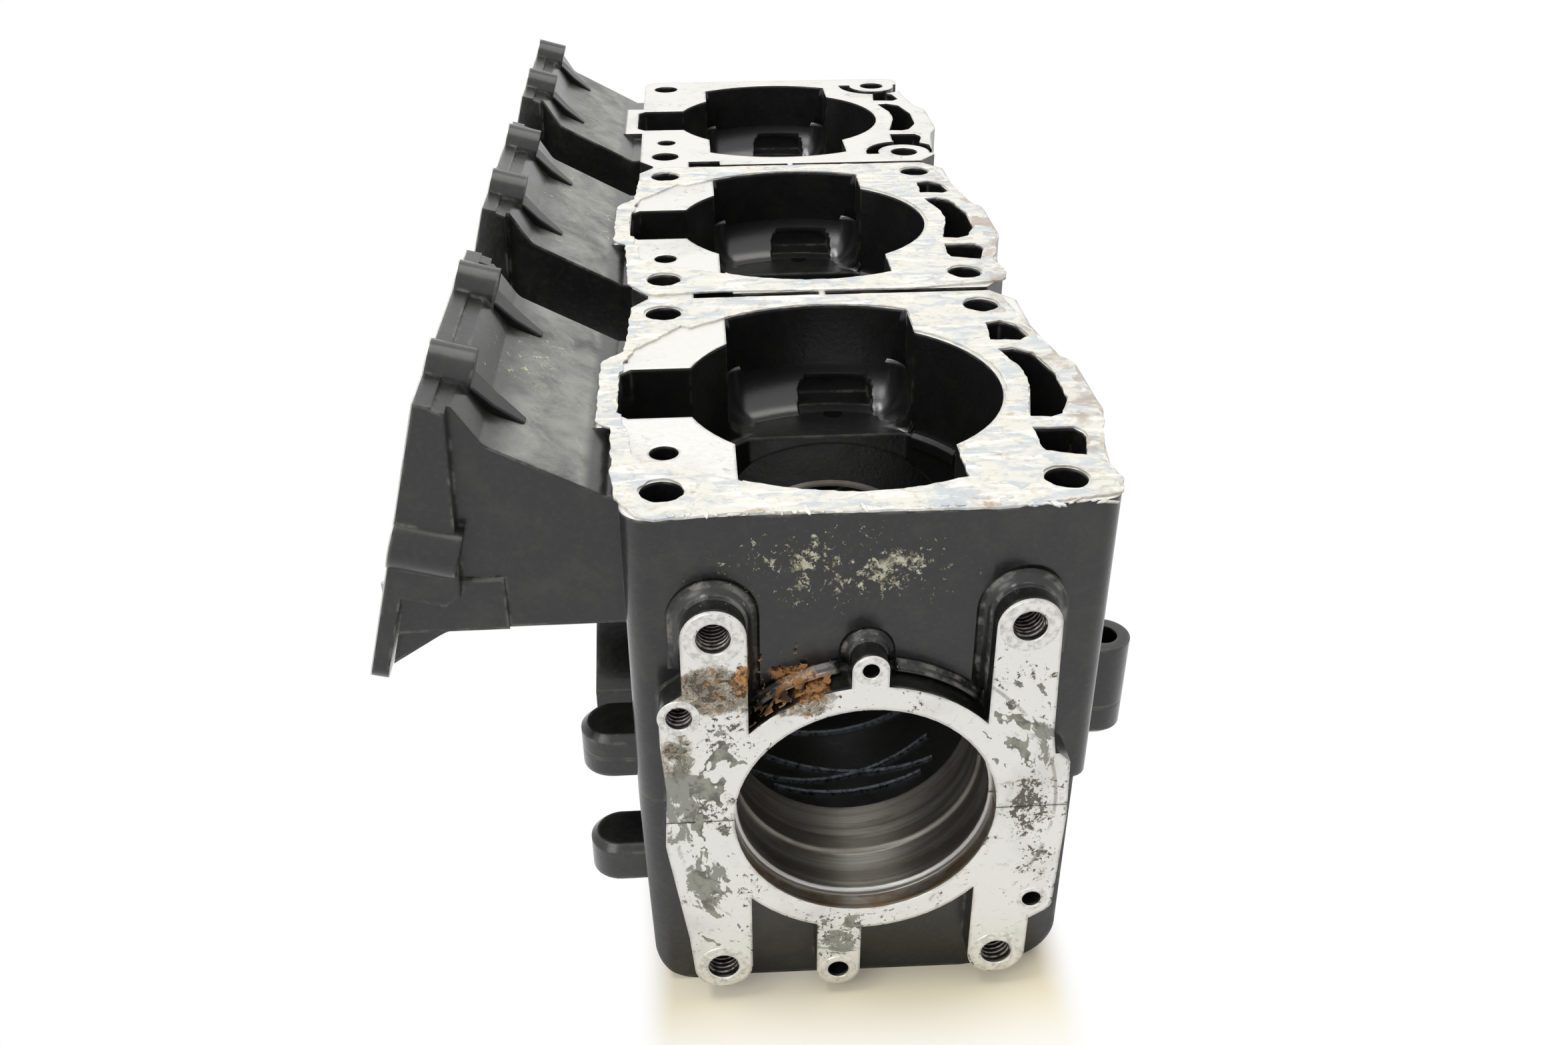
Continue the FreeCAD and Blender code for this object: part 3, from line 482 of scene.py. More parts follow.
def piece(name, mesh, finish):
    # A finished piece: its place is in its mesh, and it rides on the block
    mesh.name = name
    mesh.materials.clear()
    mesh.materials.append(finish)
    item = bpy.data.objects.new(name, mesh)
    bpy.context.collection.objects.link(item)
    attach(item, "root")
    return item


def meshOf(sheet, smooth=False):
    mesh = bpy.data.meshes.new("mesh")
    sheet.to_mesh(mesh)
    sheet.free()
    if smooth:
        mesh.shade_smooth()
    return mesh


def cast(name, sheet, finish, smooth=False):
    # A closed sheet, its faces turned outwards, made a piece
    bmesh.ops.recalc_face_normals(sheet, faces=sheet.faces)
    return piece(name, meshOf(sheet, smooth), finish)


def loft(sheet, loops, closed=False):
    # Joins loops of points into one bar with capped ends, or into a closed ring
    rings = [[sheet.verts.new(point) for point in loop] for loop in loops]
    ends = (rings[0], list(reversed(rings[-1])))
    if closed:
        rings.append(rings[0])
    size = len(rings[0])
    for first, second in zip(rings, rings[1:]):
        for index in range(size):
            following = (index + 1) % size
            sheet.faces.new((first[index], first[following], second[following], second[index]))
    if not closed:
        for end in ends:
            sheet.faces.new(end)


def newTree(name, inputs):
    # A Geometry Nodes tree with named inputs; the second result is the group's own sockets
    tree = bpy.data.node_groups.new(name, "GeometryNodeTree")
    for label, kind in inputs:
        tree.interface.new_socket(label, in_out="INPUT", socket_type="NodeSocket" + kind)
    tree.interface.new_socket("Grown", in_out="OUTPUT", socket_type="NodeSocketGeometry")
    return tree, addNode(tree, "NodeGroupInput").outputs


def closeTree(tree, shape, finish):
    painted = addNode(tree, "GeometryNodeSetMaterial", {}, {"Geometry": shape, "Material": finish})
    addNode(tree, "NodeGroupOutput", {}, [painted.outputs[0]])
    return tree


def grown(name, points, tree, values):
    # Runs a Geometry Nodes tree on loose points and keeps the plain result
    mesh = bpy.data.meshes.new(name + "Points")
    mesh.from_pydata(points, [], [])
    seed = bpy.data.objects.new(name + "Seed", mesh)
    bpy.context.collection.objects.link(seed)
    modifier = seed.modifiers.new("grow", "NODES")
    modifier.node_group = tree
    for item in tree.interface.items_tree:
        if item.in_out == "INPUT" and item.name in values:
            modifier[item.identifier] = values[item.name]
    ready = seed.evaluated_get(bpy.context.evaluated_depsgraph_get())
    result = bpy.data.meshes.new_from_object(ready)
    bpy.data.objects.remove(seed)
    return result


# Cut threads: one helix, set into each tapped hole by Geometry Nodes
threads = {
    "pitch": 0.0015,
    "depth": 0.0145,
    "ridge": 0.00052,
    "stepsPerTurn": 18,
    "frontRadius": 0.00425,
    "frontSunk": 0.0008,
    "earSpan": (0.038, 0.0554),
    "sideRadius": 0.0033,
    "sidePlace": (-0.047, 0.0006, 0.0339),
    "turn": (math.radians(-90), 0.0, 0.0),
}


def threadTree():
    inputs = [("Mouths", "Geometry"), ("Radius", "Float"), ("Pitch", "Float"), ("Depth", "Float"),
              ("Ridge", "Float"), ("Turn", "Rotation"), ("Finish", "Material")]
    tree, given = newTree("tappedHoles", inputs)
    turns = addNode(tree, "ShaderNodeMath", {"operation": "DIVIDE"}, [given["Depth"], given["Pitch"]])
    sockets = {"Resolution": threads["stepsPerTurn"], "Rotations": turns.outputs[0], "Height": given["Depth"],
               "Start Radius": given["Radius"], "End Radius": given["Radius"]}
    spiral = addNode(tree, "GeometryNodeCurveSpiral", {}, sockets)
    sockets = {"Resolution": 4, "Radius": given["Ridge"]}
    ridge = addNode(tree, "GeometryNodeCurvePrimitiveCircle", {}, sockets)
    sockets = {"Curve": spiral.outputs[0], "Profile Curve": ridge.outputs[0], "Fill Caps": True}
    sweep = addNode(tree, "GeometryNodeCurveToMesh", {}, sockets)
    sockets = {"Points": given["Mouths"], "Instance": sweep.outputs[0], "Rotation": given["Turn"]}
    spread = addNode(tree, "GeometryNodeInstanceOnPoints", {}, sockets)
    real = addNode(tree, "GeometryNodeRealizeInstances", {}, [spread.outputs[0]])
    return closeTree(tree, real.outputs[0], given["Finish"])


threadNodes = threadTree()


def tapped(name, mouths, radius):
    values = {"Radius": radius, "Pitch": threads["pitch"], "Depth": threads["depth"],
              "Ridge": threads["ridge"], "Turn": threads["turn"], "Finish": threadFinish}
    return piece(name, grown(name, mouths, threadNodes, values), threadFinish)


earMiddle = mountPlaces["front_ear_holes"]
spanX, spanZ = threads["earSpan"]
earHoles = []
for across in (-spanX, spanX):
    for upwards in (-spanZ, spanZ):
        earHoles.append((earMiddle[0] + across, threads["frontSunk"], earMiddle[2] + upwards))
tapped("earThreads", earHoles, threads["frontRadius"])
tapped("sideThread", [threads["sidePlace"]], threads["sideRadius"])
print("threads cut")


# Rims: spotfaces that stand a hair proud round the holes of the front face
rims = {
    "height": 0.00014,
    "sides": 48,
    "earRadius": 0.0074,
    "earGap": 0.0002,
    "sunk": 0.0004,
    # x, z, outer and inner radius
    "small": [(-0.0471, 0.0339, 0.0053, 0.0034), (0.0464, -0.0336, 0.0042, 0.0028),
              (0.0, 0.0459, 0.0042, 0.0022), (-0.0062, -0.057, 0.0050, 0.0030)],
}


def circle(x, y, z, radius, count):
    # Points round a hole that runs along Y
    angles = [math.tau * step / count for step in range(count)]
    return [(x + radius * math.cos(angle), y, z + radius * math.sin(angle)) for angle in angles]


sheet = bmesh.new()
rimRows = [(x, z, rims["earRadius"], threads["frontRadius"] + rims["earGap"]) for x, y, z in earHoles]
for x, z, outer, inner in rimRows + rims["small"]:
    height = rims["height"]
    profile = [(outer, 0.0), (outer - height, -height), (inner + height * 2, -height), (inner, rims["sunk"])]
    loft(sheet, [circle(x, y, z, radius, rims["sides"]) for radius, y in profile], True)
cast("holeRims", sheet, faceFinish)


# Thin patches on a surface: sealant, rust and torn paper, each grown from noise
def patches(name, place, spans, cell, keep, height, finish):
    # place(a, b, up) turns lengths on the surface into a point; keep(a, b) says where the patch lies
    sheet = bmesh.new()
    found = {}
    (lowA, highA), (lowB, highB) = spans

    def corner(i, j):
        if (i, j) not in found:
            found[i, j] = sheet.verts.new((lowA + i * cell, lowB + j * cell, 0.0))
        return found[i, j]

    for i in range(int((highA - lowA) / cell)):
        for j in range(int((highB - lowB) / cell)):
            if keep(lowA + (i + 0.5) * cell, lowB + (j + 0.5) * cell):
                sheet.faces.new((corner(i, j), corner(i + 1, j), corner(i + 1, j + 1), corner(i, j + 1)))
    for turn in range(3):
        bmesh.ops.smooth_vert(sheet, verts=sheet.verts, factor=0.5, use_axis_x=True, use_axis_y=True)
    under = list(sheet.faces)
    border = [tuple(edge.verts) for edge in sheet.edges if edge.is_boundary]
    rim = {vert for pair in border for vert in pair}
    top = {}
    for vert in list(sheet.verts):
        share = 0.25 if vert in rim else 0.6 + 0.6 * noise.noise(vert.co * 700.0)
        top[vert] = sheet.verts.new((vert.co.x, vert.co.y, height * share))
    for face in under:
        sheet.faces.new([top[vert] for vert in face.verts])
    for first, second in border:
        sheet.faces.new((first, second, top[second], top[first]))
    for vert in sheet.verts:
        vert.co = place(vert.co.x, vert.co.y, vert.co.z)
    return cast(name, sheet, finish)


def near(a, b, ovals):
    # 1 in the middle of an oval, 0 on its edge, less outside; the most of several ovals
    found = []
    for middleA, middleB, reachA, reachB, strength in ovals:
        found.append((1 - math.hypot((a - middleA) / reachA, (b - middleB) / reachB)) * strength)
    return max(found)


def cloud(a, b, scale, seed):
    return noise.fractal(Vector((a * scale, b * scale, seed)), 0.9, 2.0, 4)


# The machined front plate and what grows out of the wall round it
plate = {
    "boreEdge": 0.0352,
    "ringEdge": 0.0412,
    "holeClear": 0.0078,
    "armAcross": (0.031, 0.0455),
    "armUp": (-0.053, 0.057),
    "wallGap": 0.0005,
    "wallTop": 0.056,
    "wallLeft": -0.0295,
    "pinClear": (0.005, 0.051),
    "ring": 0.042,
    "ear": (0.038, 0.0573, 0.008),
    "pin": (0.0, 0.0459, 0.0046),
    "pinFoot": 0.0432,
    "fillet": 0.0034,
    "smallFillet": 0.7,
    "ledgeFillet": 0.0024,
    "sunk": 0.0003,
}

# Crusts: where each may lie, its noise, and its ovals (middle, reach both ways, strength)
crusts = {
    "sealantSmears": {
        "spans": ((-0.05, 0.05), (-0.056, 0.056)), "cell": 0.00045, "height": 0.00018,
        "scale": 200.0, "seed": 3.0, "pull": 0.5, "limit": 0.36,
        "ovals": [(-0.042, 0.010, 0.010, 0.022, 1.0), (-0.040, -0.020, 0.007, 0.016, 0.8),
                  (0.040, 0.024, 0.008, 0.012, 0.8), (-0.006, -0.042, 0.010, 0.006, 1.0)],
    },
    "rustOnPlate": {
        "spans": ((-0.05, 0.05), (-0.02, 0.056)), "cell": 0.00034, "height": 0.00014,
        "scale": 460.0, "seed": 9.0, "pull": 0.45, "limit": 0.52,
        "ovals": [(-0.036, 0.043, 0.011, 0.009, 1.0), (-0.022, 0.037, 0.016, 0.005, 1.0)],
    },
    "rustOnWall": {
        "spans": ((-0.031, 0.01), (0.03, 0.056)), "cell": 0.00032, "height": 0.0002,
        "scale": 480.0, "seed": 5.0, "pull": 0.5, "limit": 0.46,
        "ovals": [(-0.020, 0.0395, 0.010, 0.0055, 1.0)],
    },
    "rustOnLedge": {
        "spans": ((-0.034, -0.008), (0.0002, 0.0078)), "cell": 0.00032, "height": 0.00022,
        "scale": 430.0, "seed": 8.0, "pull": 0.55, "limit": 0.30,
        "ovals": [(-0.021, 0.0045, 0.014, 0.009, 1.0)],
    },
}


def plateHas(x, z):
    # The machined front plate, without its bore and holes
    away = math.hypot(x, z)
    if away < plate["boreEdge"]:
        return False
    for holeX, holeY, holeZ in earHoles:
        if math.hypot(x - holeX, z - holeZ) < plate["holeClear"]:
            return False
    armIn, armOut = plate["armAcross"]
    armLow, armHigh = plate["armUp"]
    return away < plate["ringEdge"] or (armIn < abs(x) < armOut and armLow < z < armHigh)


def onFront(a, b, up):
    return (a, -up * 0.5, b)


def onWall(a, b, up):
    return (a, wallFront - up, b)


def onLedge(a, b, up):
    # a runs round the plate's rim from its top, b back to the wall and over the fillet there
    fillet = plate["ledgeFillet"]
    share = min(max(1 - (wallFront - b) / fillet, 0.0), 1.0)
    away = plate["ring"] + up + fillet * (1 - math.sqrt(1 - share ** 2))
    return (math.sin(a / plate["ring"]) * away, b, math.cos(a / plate["ring"]) * away)


def wallHas(x, z):
    # The painted wall over the plate, away from the pin boss
    pinSide, pinTop = plate["pinClear"]
    byPin = abs(x) < pinSide and z < pinTop
    clear = math.hypot(x, z) >= plate["ring"] + plate["wallGap"]
    return clear and z <= plate["wallTop"] and x >= plate["wallLeft"] and not byPin


def anywhere(a, b):
    return True


def asLaid(a, b):
    return a, b


def roundBore(x, z):
    return math.atan2(z, x) * 0.032, math.hypot(x, z) * 1.2


def crust(name, place, has, finish, drawn=asLaid):
    given = crusts[name]

    def keep(a, b):
        if not has(a, b):
            return False
        pulled = near(a, b, given["ovals"]) * given["pull"]
        return cloud(*drawn(a, b), given["scale"], given["seed"]) + pulled > given["limit"]

    patches(name, place, given["spans"], given["cell"], keep, given["height"], finish)


crust("sealantSmears", onFront, plateHas, sealantFinish, roundBore)
crust("rustOnPlate", onFront, plateHas, rustFinish)
crust("rustOnWall", onWall, wallHas, rustFinish)
crust("rustOnLedge", onLedge, anywhere, rustFinish)
print("rims, sealant and rust laid on")


# Gaskets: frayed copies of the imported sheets, with what is left of the upper paper layer
def frayed(nodeName, pieceName, seed):
    sheet = bmesh.new()
    sheet.from_mesh(frame["nodes"][nodeName].data)
    bmesh.ops.remove_doubles(sheet, verts=sheet.verts, dist=0.000002)
    bmesh.ops.dissolve_limit(sheet, angle_limit=0.02, verts=sheet.verts, edges=sheet.edges)
    for turn in range(5):
        long = [edge for edge in sheet.edges if edge.calc_length() > gasket["longestEdge"]]
        if long:
            bmesh.ops.subdivide_edges(sheet, edges=long, cuts=1)
    bmesh.ops.triangulate(sheet, faces=sheet.faces)
    middleHeight = deckHeight + 0.0003
    for vert in sheet.verts:
        x, y, z = vert.co
        quick = noise.noise_vector(Vector((x * 420.0, y * 420.0, seed))) * gasket["fray"]
        slow = noise.noise_vector(Vector((x * 90.0, y * 90.0, seed + 4))) * gasket["fray"]
        if z > middleHeight:
            z += noise.noise(Vector((x * 260.0, y * 260.0, seed))) * gasket["ripple"]
        vert.co = (x + quick.x + slow.x, y + quick.y + slow.y, z)
    item = cast(pieceName, sheet, gasketFinish)
    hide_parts(nodeName)
    tree = bvhtree.BVHTree.FromObject(item, bpy.context.evaluated_depsgraph_get())
    low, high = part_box(nodeName)

    def layerKeep(x, y):
        if tree.ray_cast(Vector((x, y, high[2] + 0.01)), Vector((0, 0, -1)))[0] is None:
            return False
        return cloud(x + y * 0.3, y * 1.7, 75.0, seed) + (x - 0.02) * 4.0 > 0.12

    def onGasket(a, b, up):
        return (a, b, high[2] + up - 0.00002)

    spans = ((low[0], high[0]), (low[1], high[1]))
    patches(pieceName + "Layer", onGasket, spans, gasket["layerCell"], layerKeep, gasket["layerThickness"],
            paperFinish)


frayed("base_gasket_front", "frontGasket", 2.0)
frayed("base_gasket_middle", "middleGasket", 7.0)
print("gaskets frayed")


# Torn shreds of gasket that hang over the deck's front edge
shreds = {
    "count": 46,
    "size": 0.0009,
    "thickness": 0.0003,
    "seed": 11,
    "startX": -0.048,
    "width": 0.106,
    "crowdFrom": 0.018,
    "edgeY": 0.0098,
    "reach": 0.0014,
    "lift": 0.00035,
    "pile": 0.0003,
    "ragged": (0.0018, 0.0018, 0.0004),
}


def shredTree():
    inputs = [("Places", "Geometry"), ("Size", "Float"), ("Thickness", "Float"), ("Seed", "Int"),
              ("Finish", "Material")]
    tree, given = newTree("tornShreds", inputs)
    sockets = {"Vertices": 9, "Radius": given["Size"], "Depth": given["Thickness"]}
    leaf = addNode(tree, "GeometryNodeMeshCylinder", {"fill_type": "NGON"}, sockets)
    vector = {"data_type": "FLOAT_VECTOR"}
    sockets = {"Min": (-0.16, -0.1, 0.0), "Max": (0.05, 0.1, math.tau), "Seed": given["Seed"]}
    turn = addNode(tree, "FunctionNodeRandomValue", vector, sockets)
    sockets = {"Min": (0.5, 0.4, 0.7), "Max": (2.6, 1.1, 1.2), "Seed": given["Seed"]}
    grow = addNode(tree, "FunctionNodeRandomValue", vector, sockets)
    sockets = {"Points": given["Places"], "Instance": leaf.outputs["Mesh"], "Rotation": turn.outputs["Value"],
               "Scale": grow.outputs["Value"]}
    spread = addNode(tree, "GeometryNodeInstanceOnPoints", {}, sockets)
    real = addNode(tree, "GeometryNodeRealizeInstances", {}, [spread.outputs[0]])
    place = addNode(tree, "GeometryNodeInputPosition")
    wave = addNode(tree, "ShaderNodeTexNoise", {}, {"Scale": 900.0, "Vector": place.outputs[0]})
    sockets = [wave.outputs["Color"], (0.5, 0.5, 0.5)]
    centred = addNode(tree, "ShaderNodeVectorMath", {"operation": "SUBTRACT"}, sockets)
    sockets = [centred.outputs[0], shreds["ragged"]]
    scaled = addNode(tree, "ShaderNodeVectorMath", {"operation": "MULTIPLY"}, sockets)
    sockets = {"Geometry": real.outputs[0], "Offset": scaled.outputs[0]}
    ragged = addNode(tree, "GeometryNodeSetPosition", {}, sockets)
    return closeTree(tree, ragged.outputs[0], given["Finish"])


chance = random.Random(shreds["seed"])
places = []
for index in range(shreds["count"]):
    x = shreds["startX"] + shreds["width"] * (index + chance.random()) / shreds["count"]
    crowd = 1.0 if x > shreds["crowdFrom"] else 0.5
    y = shreds["edgeY"] - chance.random() * shreds["reach"] * crowd
    places.append((x, y, deckHeight + shreds["lift"] + chance.random() * shreds["pile"]))
values = {"Size": shreds["size"], "Thickness": shreds["thickness"], "Seed": shreds["seed"],
          "Finish": gasketFinish}
piece("gasketShreds", grown("gasketShreds", places, shredTree(), values), gasketFinish)
print("torn shreds scattered")


# Ledges at the sides of the bores
ledge = {
    "inner": 0.0412,
    "outer": 0.0442,
    "low": 0.0490,
    "high": 0.0534,
    "from": math.radians(28.9),
    "to": math.radians(52.0),
    "steps": 12,
    "soft": 0.25,
}
inner, outer = ledge["inner"], ledge["outer"]
low, high = ledge["low"], ledge["high"]
soft = (high - low) * ledge["soft"]
profile = [(inner, low), (inner, high - soft), (inner + soft, high), (outer, high), (outer, low)]
sheet = bmesh.new()
for centre in cylinderRows:
    loops = []
    for step in range(ledge["steps"] + 1):
        angle = ledge["from"] + (ledge["to"] - ledge["from"]) * step / ledge["steps"]
        loops.append([(math.cos(angle) * away, centre + math.sin(angle) * away, z) for away, z in profile])
    loft(sheet, loops)
cast("boreLedges", sheet, paintFinish)

# Cast ridges on the chamber floors: a straight one, and others that drift along the crank; their light bluish
# steel colour is a painted highlight
ridges = {
    "radius": 0.0500,
    "height": 0.0011,
    "width": 0.0012,
    "sunk": 0.0004,
    "flare": 0.8,
    "steps": 18,
    # from x, to x, place along the crank at each end
    "rows": [(-0.020, 0.026, 0.064, 0.064), (-0.030, 0.030, 0.078, 0.067), (-0.030, 0.030, 0.067, 0.078),
             (-0.030, 0.030, 0.092, 0.097)],
}


def floorRidge(sheet, fromX, toX, startY, endY):
    loops = []
    for step in range(ridges["steps"] + 1):
        share = step / ridges["steps"]
        x = fromX + (toX - fromX) * share
        y = startY + (endY - startY) * share ** 1.5
        z = -math.sqrt(ridges["radius"] ** 2 - x * x)
        foot = ridges["width"] * ridges["flare"]
        half = ridges["width"] / 2
        low = z - ridges["sunk"]
        high = z + ridges["height"]
        loops.append([(x, y - foot, low), (x, y - half, high), (x, y + half, high), (x, y + foot, low)])
    loft(sheet, loops)


sheet = bmesh.new()
for centre in cylinderRows:
    base = centre - cylinderRows[0]
    for fromX, toX, startY, endY in ridges["rows"]:
        floorRidge(sheet, fromX, toX, base + startY, base + endY)
cast("chamberRidges", sheet, ridgeHighlightFinish)


# Fillets where the front plate grows out of the wall
def arc(centreX, centreZ, radius, start, end, steps):
    points = []
    for step in range(steps + 1):
        angle = math.radians(start + (end - start) * step / steps)
        points.append((centreX + radius * math.cos(angle), centreZ + radius * math.sin(angle)))
    return points


def filletStrip(sheet, path, radius):
    # path runs with the plate on its right-hand side; the strip fills the corner at the wall
    loops = []
    steps = 6
    sunk = plate["sunk"]
    for index, (x, z) in enumerate(path):
        beforeX, beforeZ = path[max(index - 1, 0)]
        afterX, afterZ = path[min(index + 1, len(path) - 1)]
        way = Vector((afterX - beforeX, afterZ - beforeZ)).normalized()
        out = Vector((-way.y, way.x))
        loop = [(x - out.x * sunk, wallFront + sunk, z - out.y * sunk)]
        for step in range(steps + 1):
            turn = math.pi / 2 * step / steps
            away = radius * (1 - math.sin(turn))
            deep = wallFront - radius * (1 - math.cos(turn))
            loop.append((x + out.x * away, deep, z + out.y * away))
        loops.append(loop)
    loft(sheet, loops)


earX, earZ, earRadius = plate["ear"]
pinX, pinZ, pinRadius = plate["pin"]
inner = earX - earRadius
outer = earX + earRadius
meet = math.degrees(math.asin(inner / plate["ring"])) - 3
pinMeet = math.degrees(math.asin(pinRadius / plate["ring"])) + 3
outerRun = (earZ - 0.014, earZ - 0.006)
innerRun = (0.052, 0.046, 0.040, 0.034)
leftEar = [(-outer, z) for z in outerRun] + arc(-earX, earZ, earRadius, 180, 0, 18)
leftEar += [(-inner, z) for z in innerRun]
rightEar = [(inner, z) for z in reversed(innerRun)] + arc(earX, earZ, earRadius, 180, 0, 18)
rightEar += [(outer, z) for z in reversed(outerRun)]
pinPath = [(-pinRadius, plate["pinFoot"])] + arc(pinX, pinZ, pinRadius, 180, 0, 12)
pinPath.append((pinRadius, plate["pinFoot"]))
ringLeft = arc(0, 0, plate["ring"], 90 + meet, 90 + pinMeet, 14)
ringRight = arc(0, 0, plate["ring"], 90 - pinMeet, 90 - meet, 14)
sheet = bmesh.new()
full = plate["fillet"]
small = full * plate["smallFillet"]
strips = [(leftEar, full), (ringLeft, small), (pinPath, small), (ringRight, small), (rightEar, full)]
for path, radius in strips:
    filletStrip(sheet, path, radius)
cast("plateFillets", sheet, upperFinish, smooth=True)


# Webs that carry the reed flange's upper bosses, one under each, in the flange's own lengths
bossWebs = {
    "footSide": -0.1255,
    "footHeight": 0.0333,
    "middle": -0.00475,
    "apart": 0.027,
    "top": 0.0806,
    # inwards from the flange, down from its top, half width
    "outline": [(0.0060, 0.0020, 0.0050), (0.0118, 0.0022, 0.0050), (0.0178, 0.0062, 0.0040),
                (0.0262, 0.0106, 0.0018), (0.0150, 0.0150, 0.0018)],
    "edge": 0.0007,
}
tiltSine = math.sin(casting["flangeTilt"])
tiltCosine = math.cos(casting["flangeTilt"])
sheet = bmesh.new()
for centre, sense in rowSides:
    along = centre + bossWebs["middle"] + sense * bossWebs["apart"]
    sides = []
    for face in (-1, 1):
        loop = []
        for inwards, down, half in bossWebs["outline"]:
            climb = bossWebs["top"] - down
            x = bossWebs["footSide"] + inwards * tiltCosine + climb * tiltSine
            z = bossWebs["footHeight"] - inwards * tiltSine + climb * tiltCosine
            loop.append((x, along + face * half, z))
        sides.append(loop)
    loft(sheet, sides)
webs = cast("bossWebs", sheet, paintFinish)
softened = webs.modifiers.new("softened", "BEVEL")
softened.width = bossWebs["edge"]
softened.segments = 3


# Transfer pockets: the rounded foot of the walls, their soft corners, and near-black discs that paint the
# shade of the oil holes
pocket = {
    "radius": 0.059,
    "left": -0.0305,
    "right": 0.0255,
    "shelf": 0.0527,
    "footOut": 0.0095,
    "footUp": 0.016,
    "sideStart": 0.0347,
    "sideGrow": 0.12,
    "sideSteps": 8,
    "wallSteps": 60,
    "rows": 14,
    "sunk": 0.00006,
    "thick": 0.0016,
    "topCorner": 0.0035,
    "cornerSunk": 0.0003,
    "cornerUnder": 0.0006,
    "deckGap": 0.0001,
    # left, right, height and corner radius of the catch recess, and how far out it starts
    "recess": (-0.0075, 0.0155, 0.0085, 0.0035),
    "recessFrom": 0.04,
    "oilHole": (0.0030, 0.0502, 0.0030),
    "oilSides": 28,
    "oilDepth": 0.0004,
    "oilRim": 0.00012,
}


def footPath():
    # The foot's inner line round one pocket: place, way out to the wall, share of its full size
    inner = pocket["radius"] - pocket["footOut"]
    left = pocket["left"] + pocket["footOut"]
    right = pocket["right"] - pocket["footOut"]
    cornerLeft = Vector((left, math.sqrt(inner ** 2 - left ** 2)))
    cornerRight = Vector((right, math.sqrt(inner ** 2 - right ** 2)))
    begin = pocket["sideStart"]
    small = pocket["sideGrow"]
    steps = pocket["sideSteps"]
    growth = [small + (1 - small) * math.sin(math.pi / 2 * i / steps) for i in range(steps + 1)]
    startTurn = math.atan2(cornerLeft.y, cornerLeft.x)
    endTurn = math.atan2(cornerRight.y, cornerRight.x)
    path = []
    for i in range(steps + 1):
        along = begin + (cornerLeft.y - begin) * i / steps
        path.append((Vector((left, along)), Vector((-1.0, 0.0)), growth[i]))
    for i in range(1, steps + 1):
        turn = math.pi + (startTurn - math.pi) * i / steps
        path.append((cornerLeft, Vector((math.cos(turn), math.sin(turn))), 1.0))
    for i in range(1, pocket["wallSteps"] + 1):
        turn = startTurn + (endTurn - startTurn) * i / pocket["wallSteps"]
        way = Vector((math.cos(turn), math.sin(turn)))
        path.append((way * inner, way, 1.0))
    for i in range(1, steps + 1):
        turn = endTurn * (1 - i / steps)
        path.append((cornerRight, Vector((math.cos(turn), math.sin(turn))), 1.0))
    for i in range(1, steps + 1):
        along = cornerRight.y + (begin - cornerRight.y) * i / steps
        path.append((Vector((right, along)), Vector((1.0, 0.0)), growth[steps - i]))
    return path


def inRecess(x, up):
    low, high, top, corner = pocket["recess"]
    across = min(x - low, high - x)
    if across < 0 or up > top:
        return False
    return across > corner or top - up > corner or math.hypot(corner - across, corner - top + up) < corner


sheet = bmesh.new()
path = footPath()
rows = pocket["rows"]
for centre, sense in rowSides:
    grid = []
    for point, way, share in path:
        column = []
        for row in range(rows + 1):
            turn = math.pi / 2 * row / rows
            out = pocket["footOut"] * (1 - share * (1 - math.sin(turn))) + pocket["sunk"]
            up = pocket["footUp"] * share * (1 - math.cos(turn)) - pocket["sunk"]
            place = point + way * out
            column.append(sheet.verts.new((place.x, centre + sense * place.y, pocket["shelf"] + up)))
        grid.append(column)
    for first, second in zip(grid, grid[1:]):
        for row in range(rows):
            corners = (first[row], second[row], second[row + 1], first[row + 1])
            middle = sum((corner.co for corner in corners), Vector()) / 4
            far = abs(middle.y - centre) > pocket["recessFrom"]
            if far and inRecess(middle.x, middle.z - pocket["shelf"]):
                continue
            sheet.faces.new(corners if sense > 0 else tuple(reversed(corners)))
loose = [vert for vert in sheet.verts if not vert.link_faces]
bmesh.ops.delete(sheet, geom=loose, context="VERTS")
bmesh.ops.remove_doubles(sheet, verts=sheet.verts, dist=0.000001)
feet = piece("pocketFeet", meshOf(sheet, True), footFinish)
thicken = feet.modifiers.new("thicken", "SOLIDIFY")
thicken.thickness = pocket["thick"]
thicken.offset = -1.0


def cornerFillet(sheet, corner, wayOne, wayTwo, rings):
    # Fills a standing inner corner between two walls that leave it along wayOne and wayTwo
    half = wayOne.angle(wayTwo) / 2
    inwards = (wayOne + wayTwo).normalized()
    steps = 8
    loops = []
    for radius, z in rings:
        reach = radius / math.tan(half)
        middle = corner + inwards * (radius / math.sin(half))
        start = corner + wayOne * reach - middle
        end = corner + wayTwo * reach - middle
        sweep = start.angle_signed(end)
        outline = [corner - inwards * pocket["cornerSunk"]]
        for step in range(steps + 1):
            turned = start.copy()
            turned.rotate(Matrix.Rotation(-sweep * step / steps, 2))
            outline.append(middle + turned)
        loops.append([(point.x, point.y, z) for point in outline])
    loft(sheet, loops)


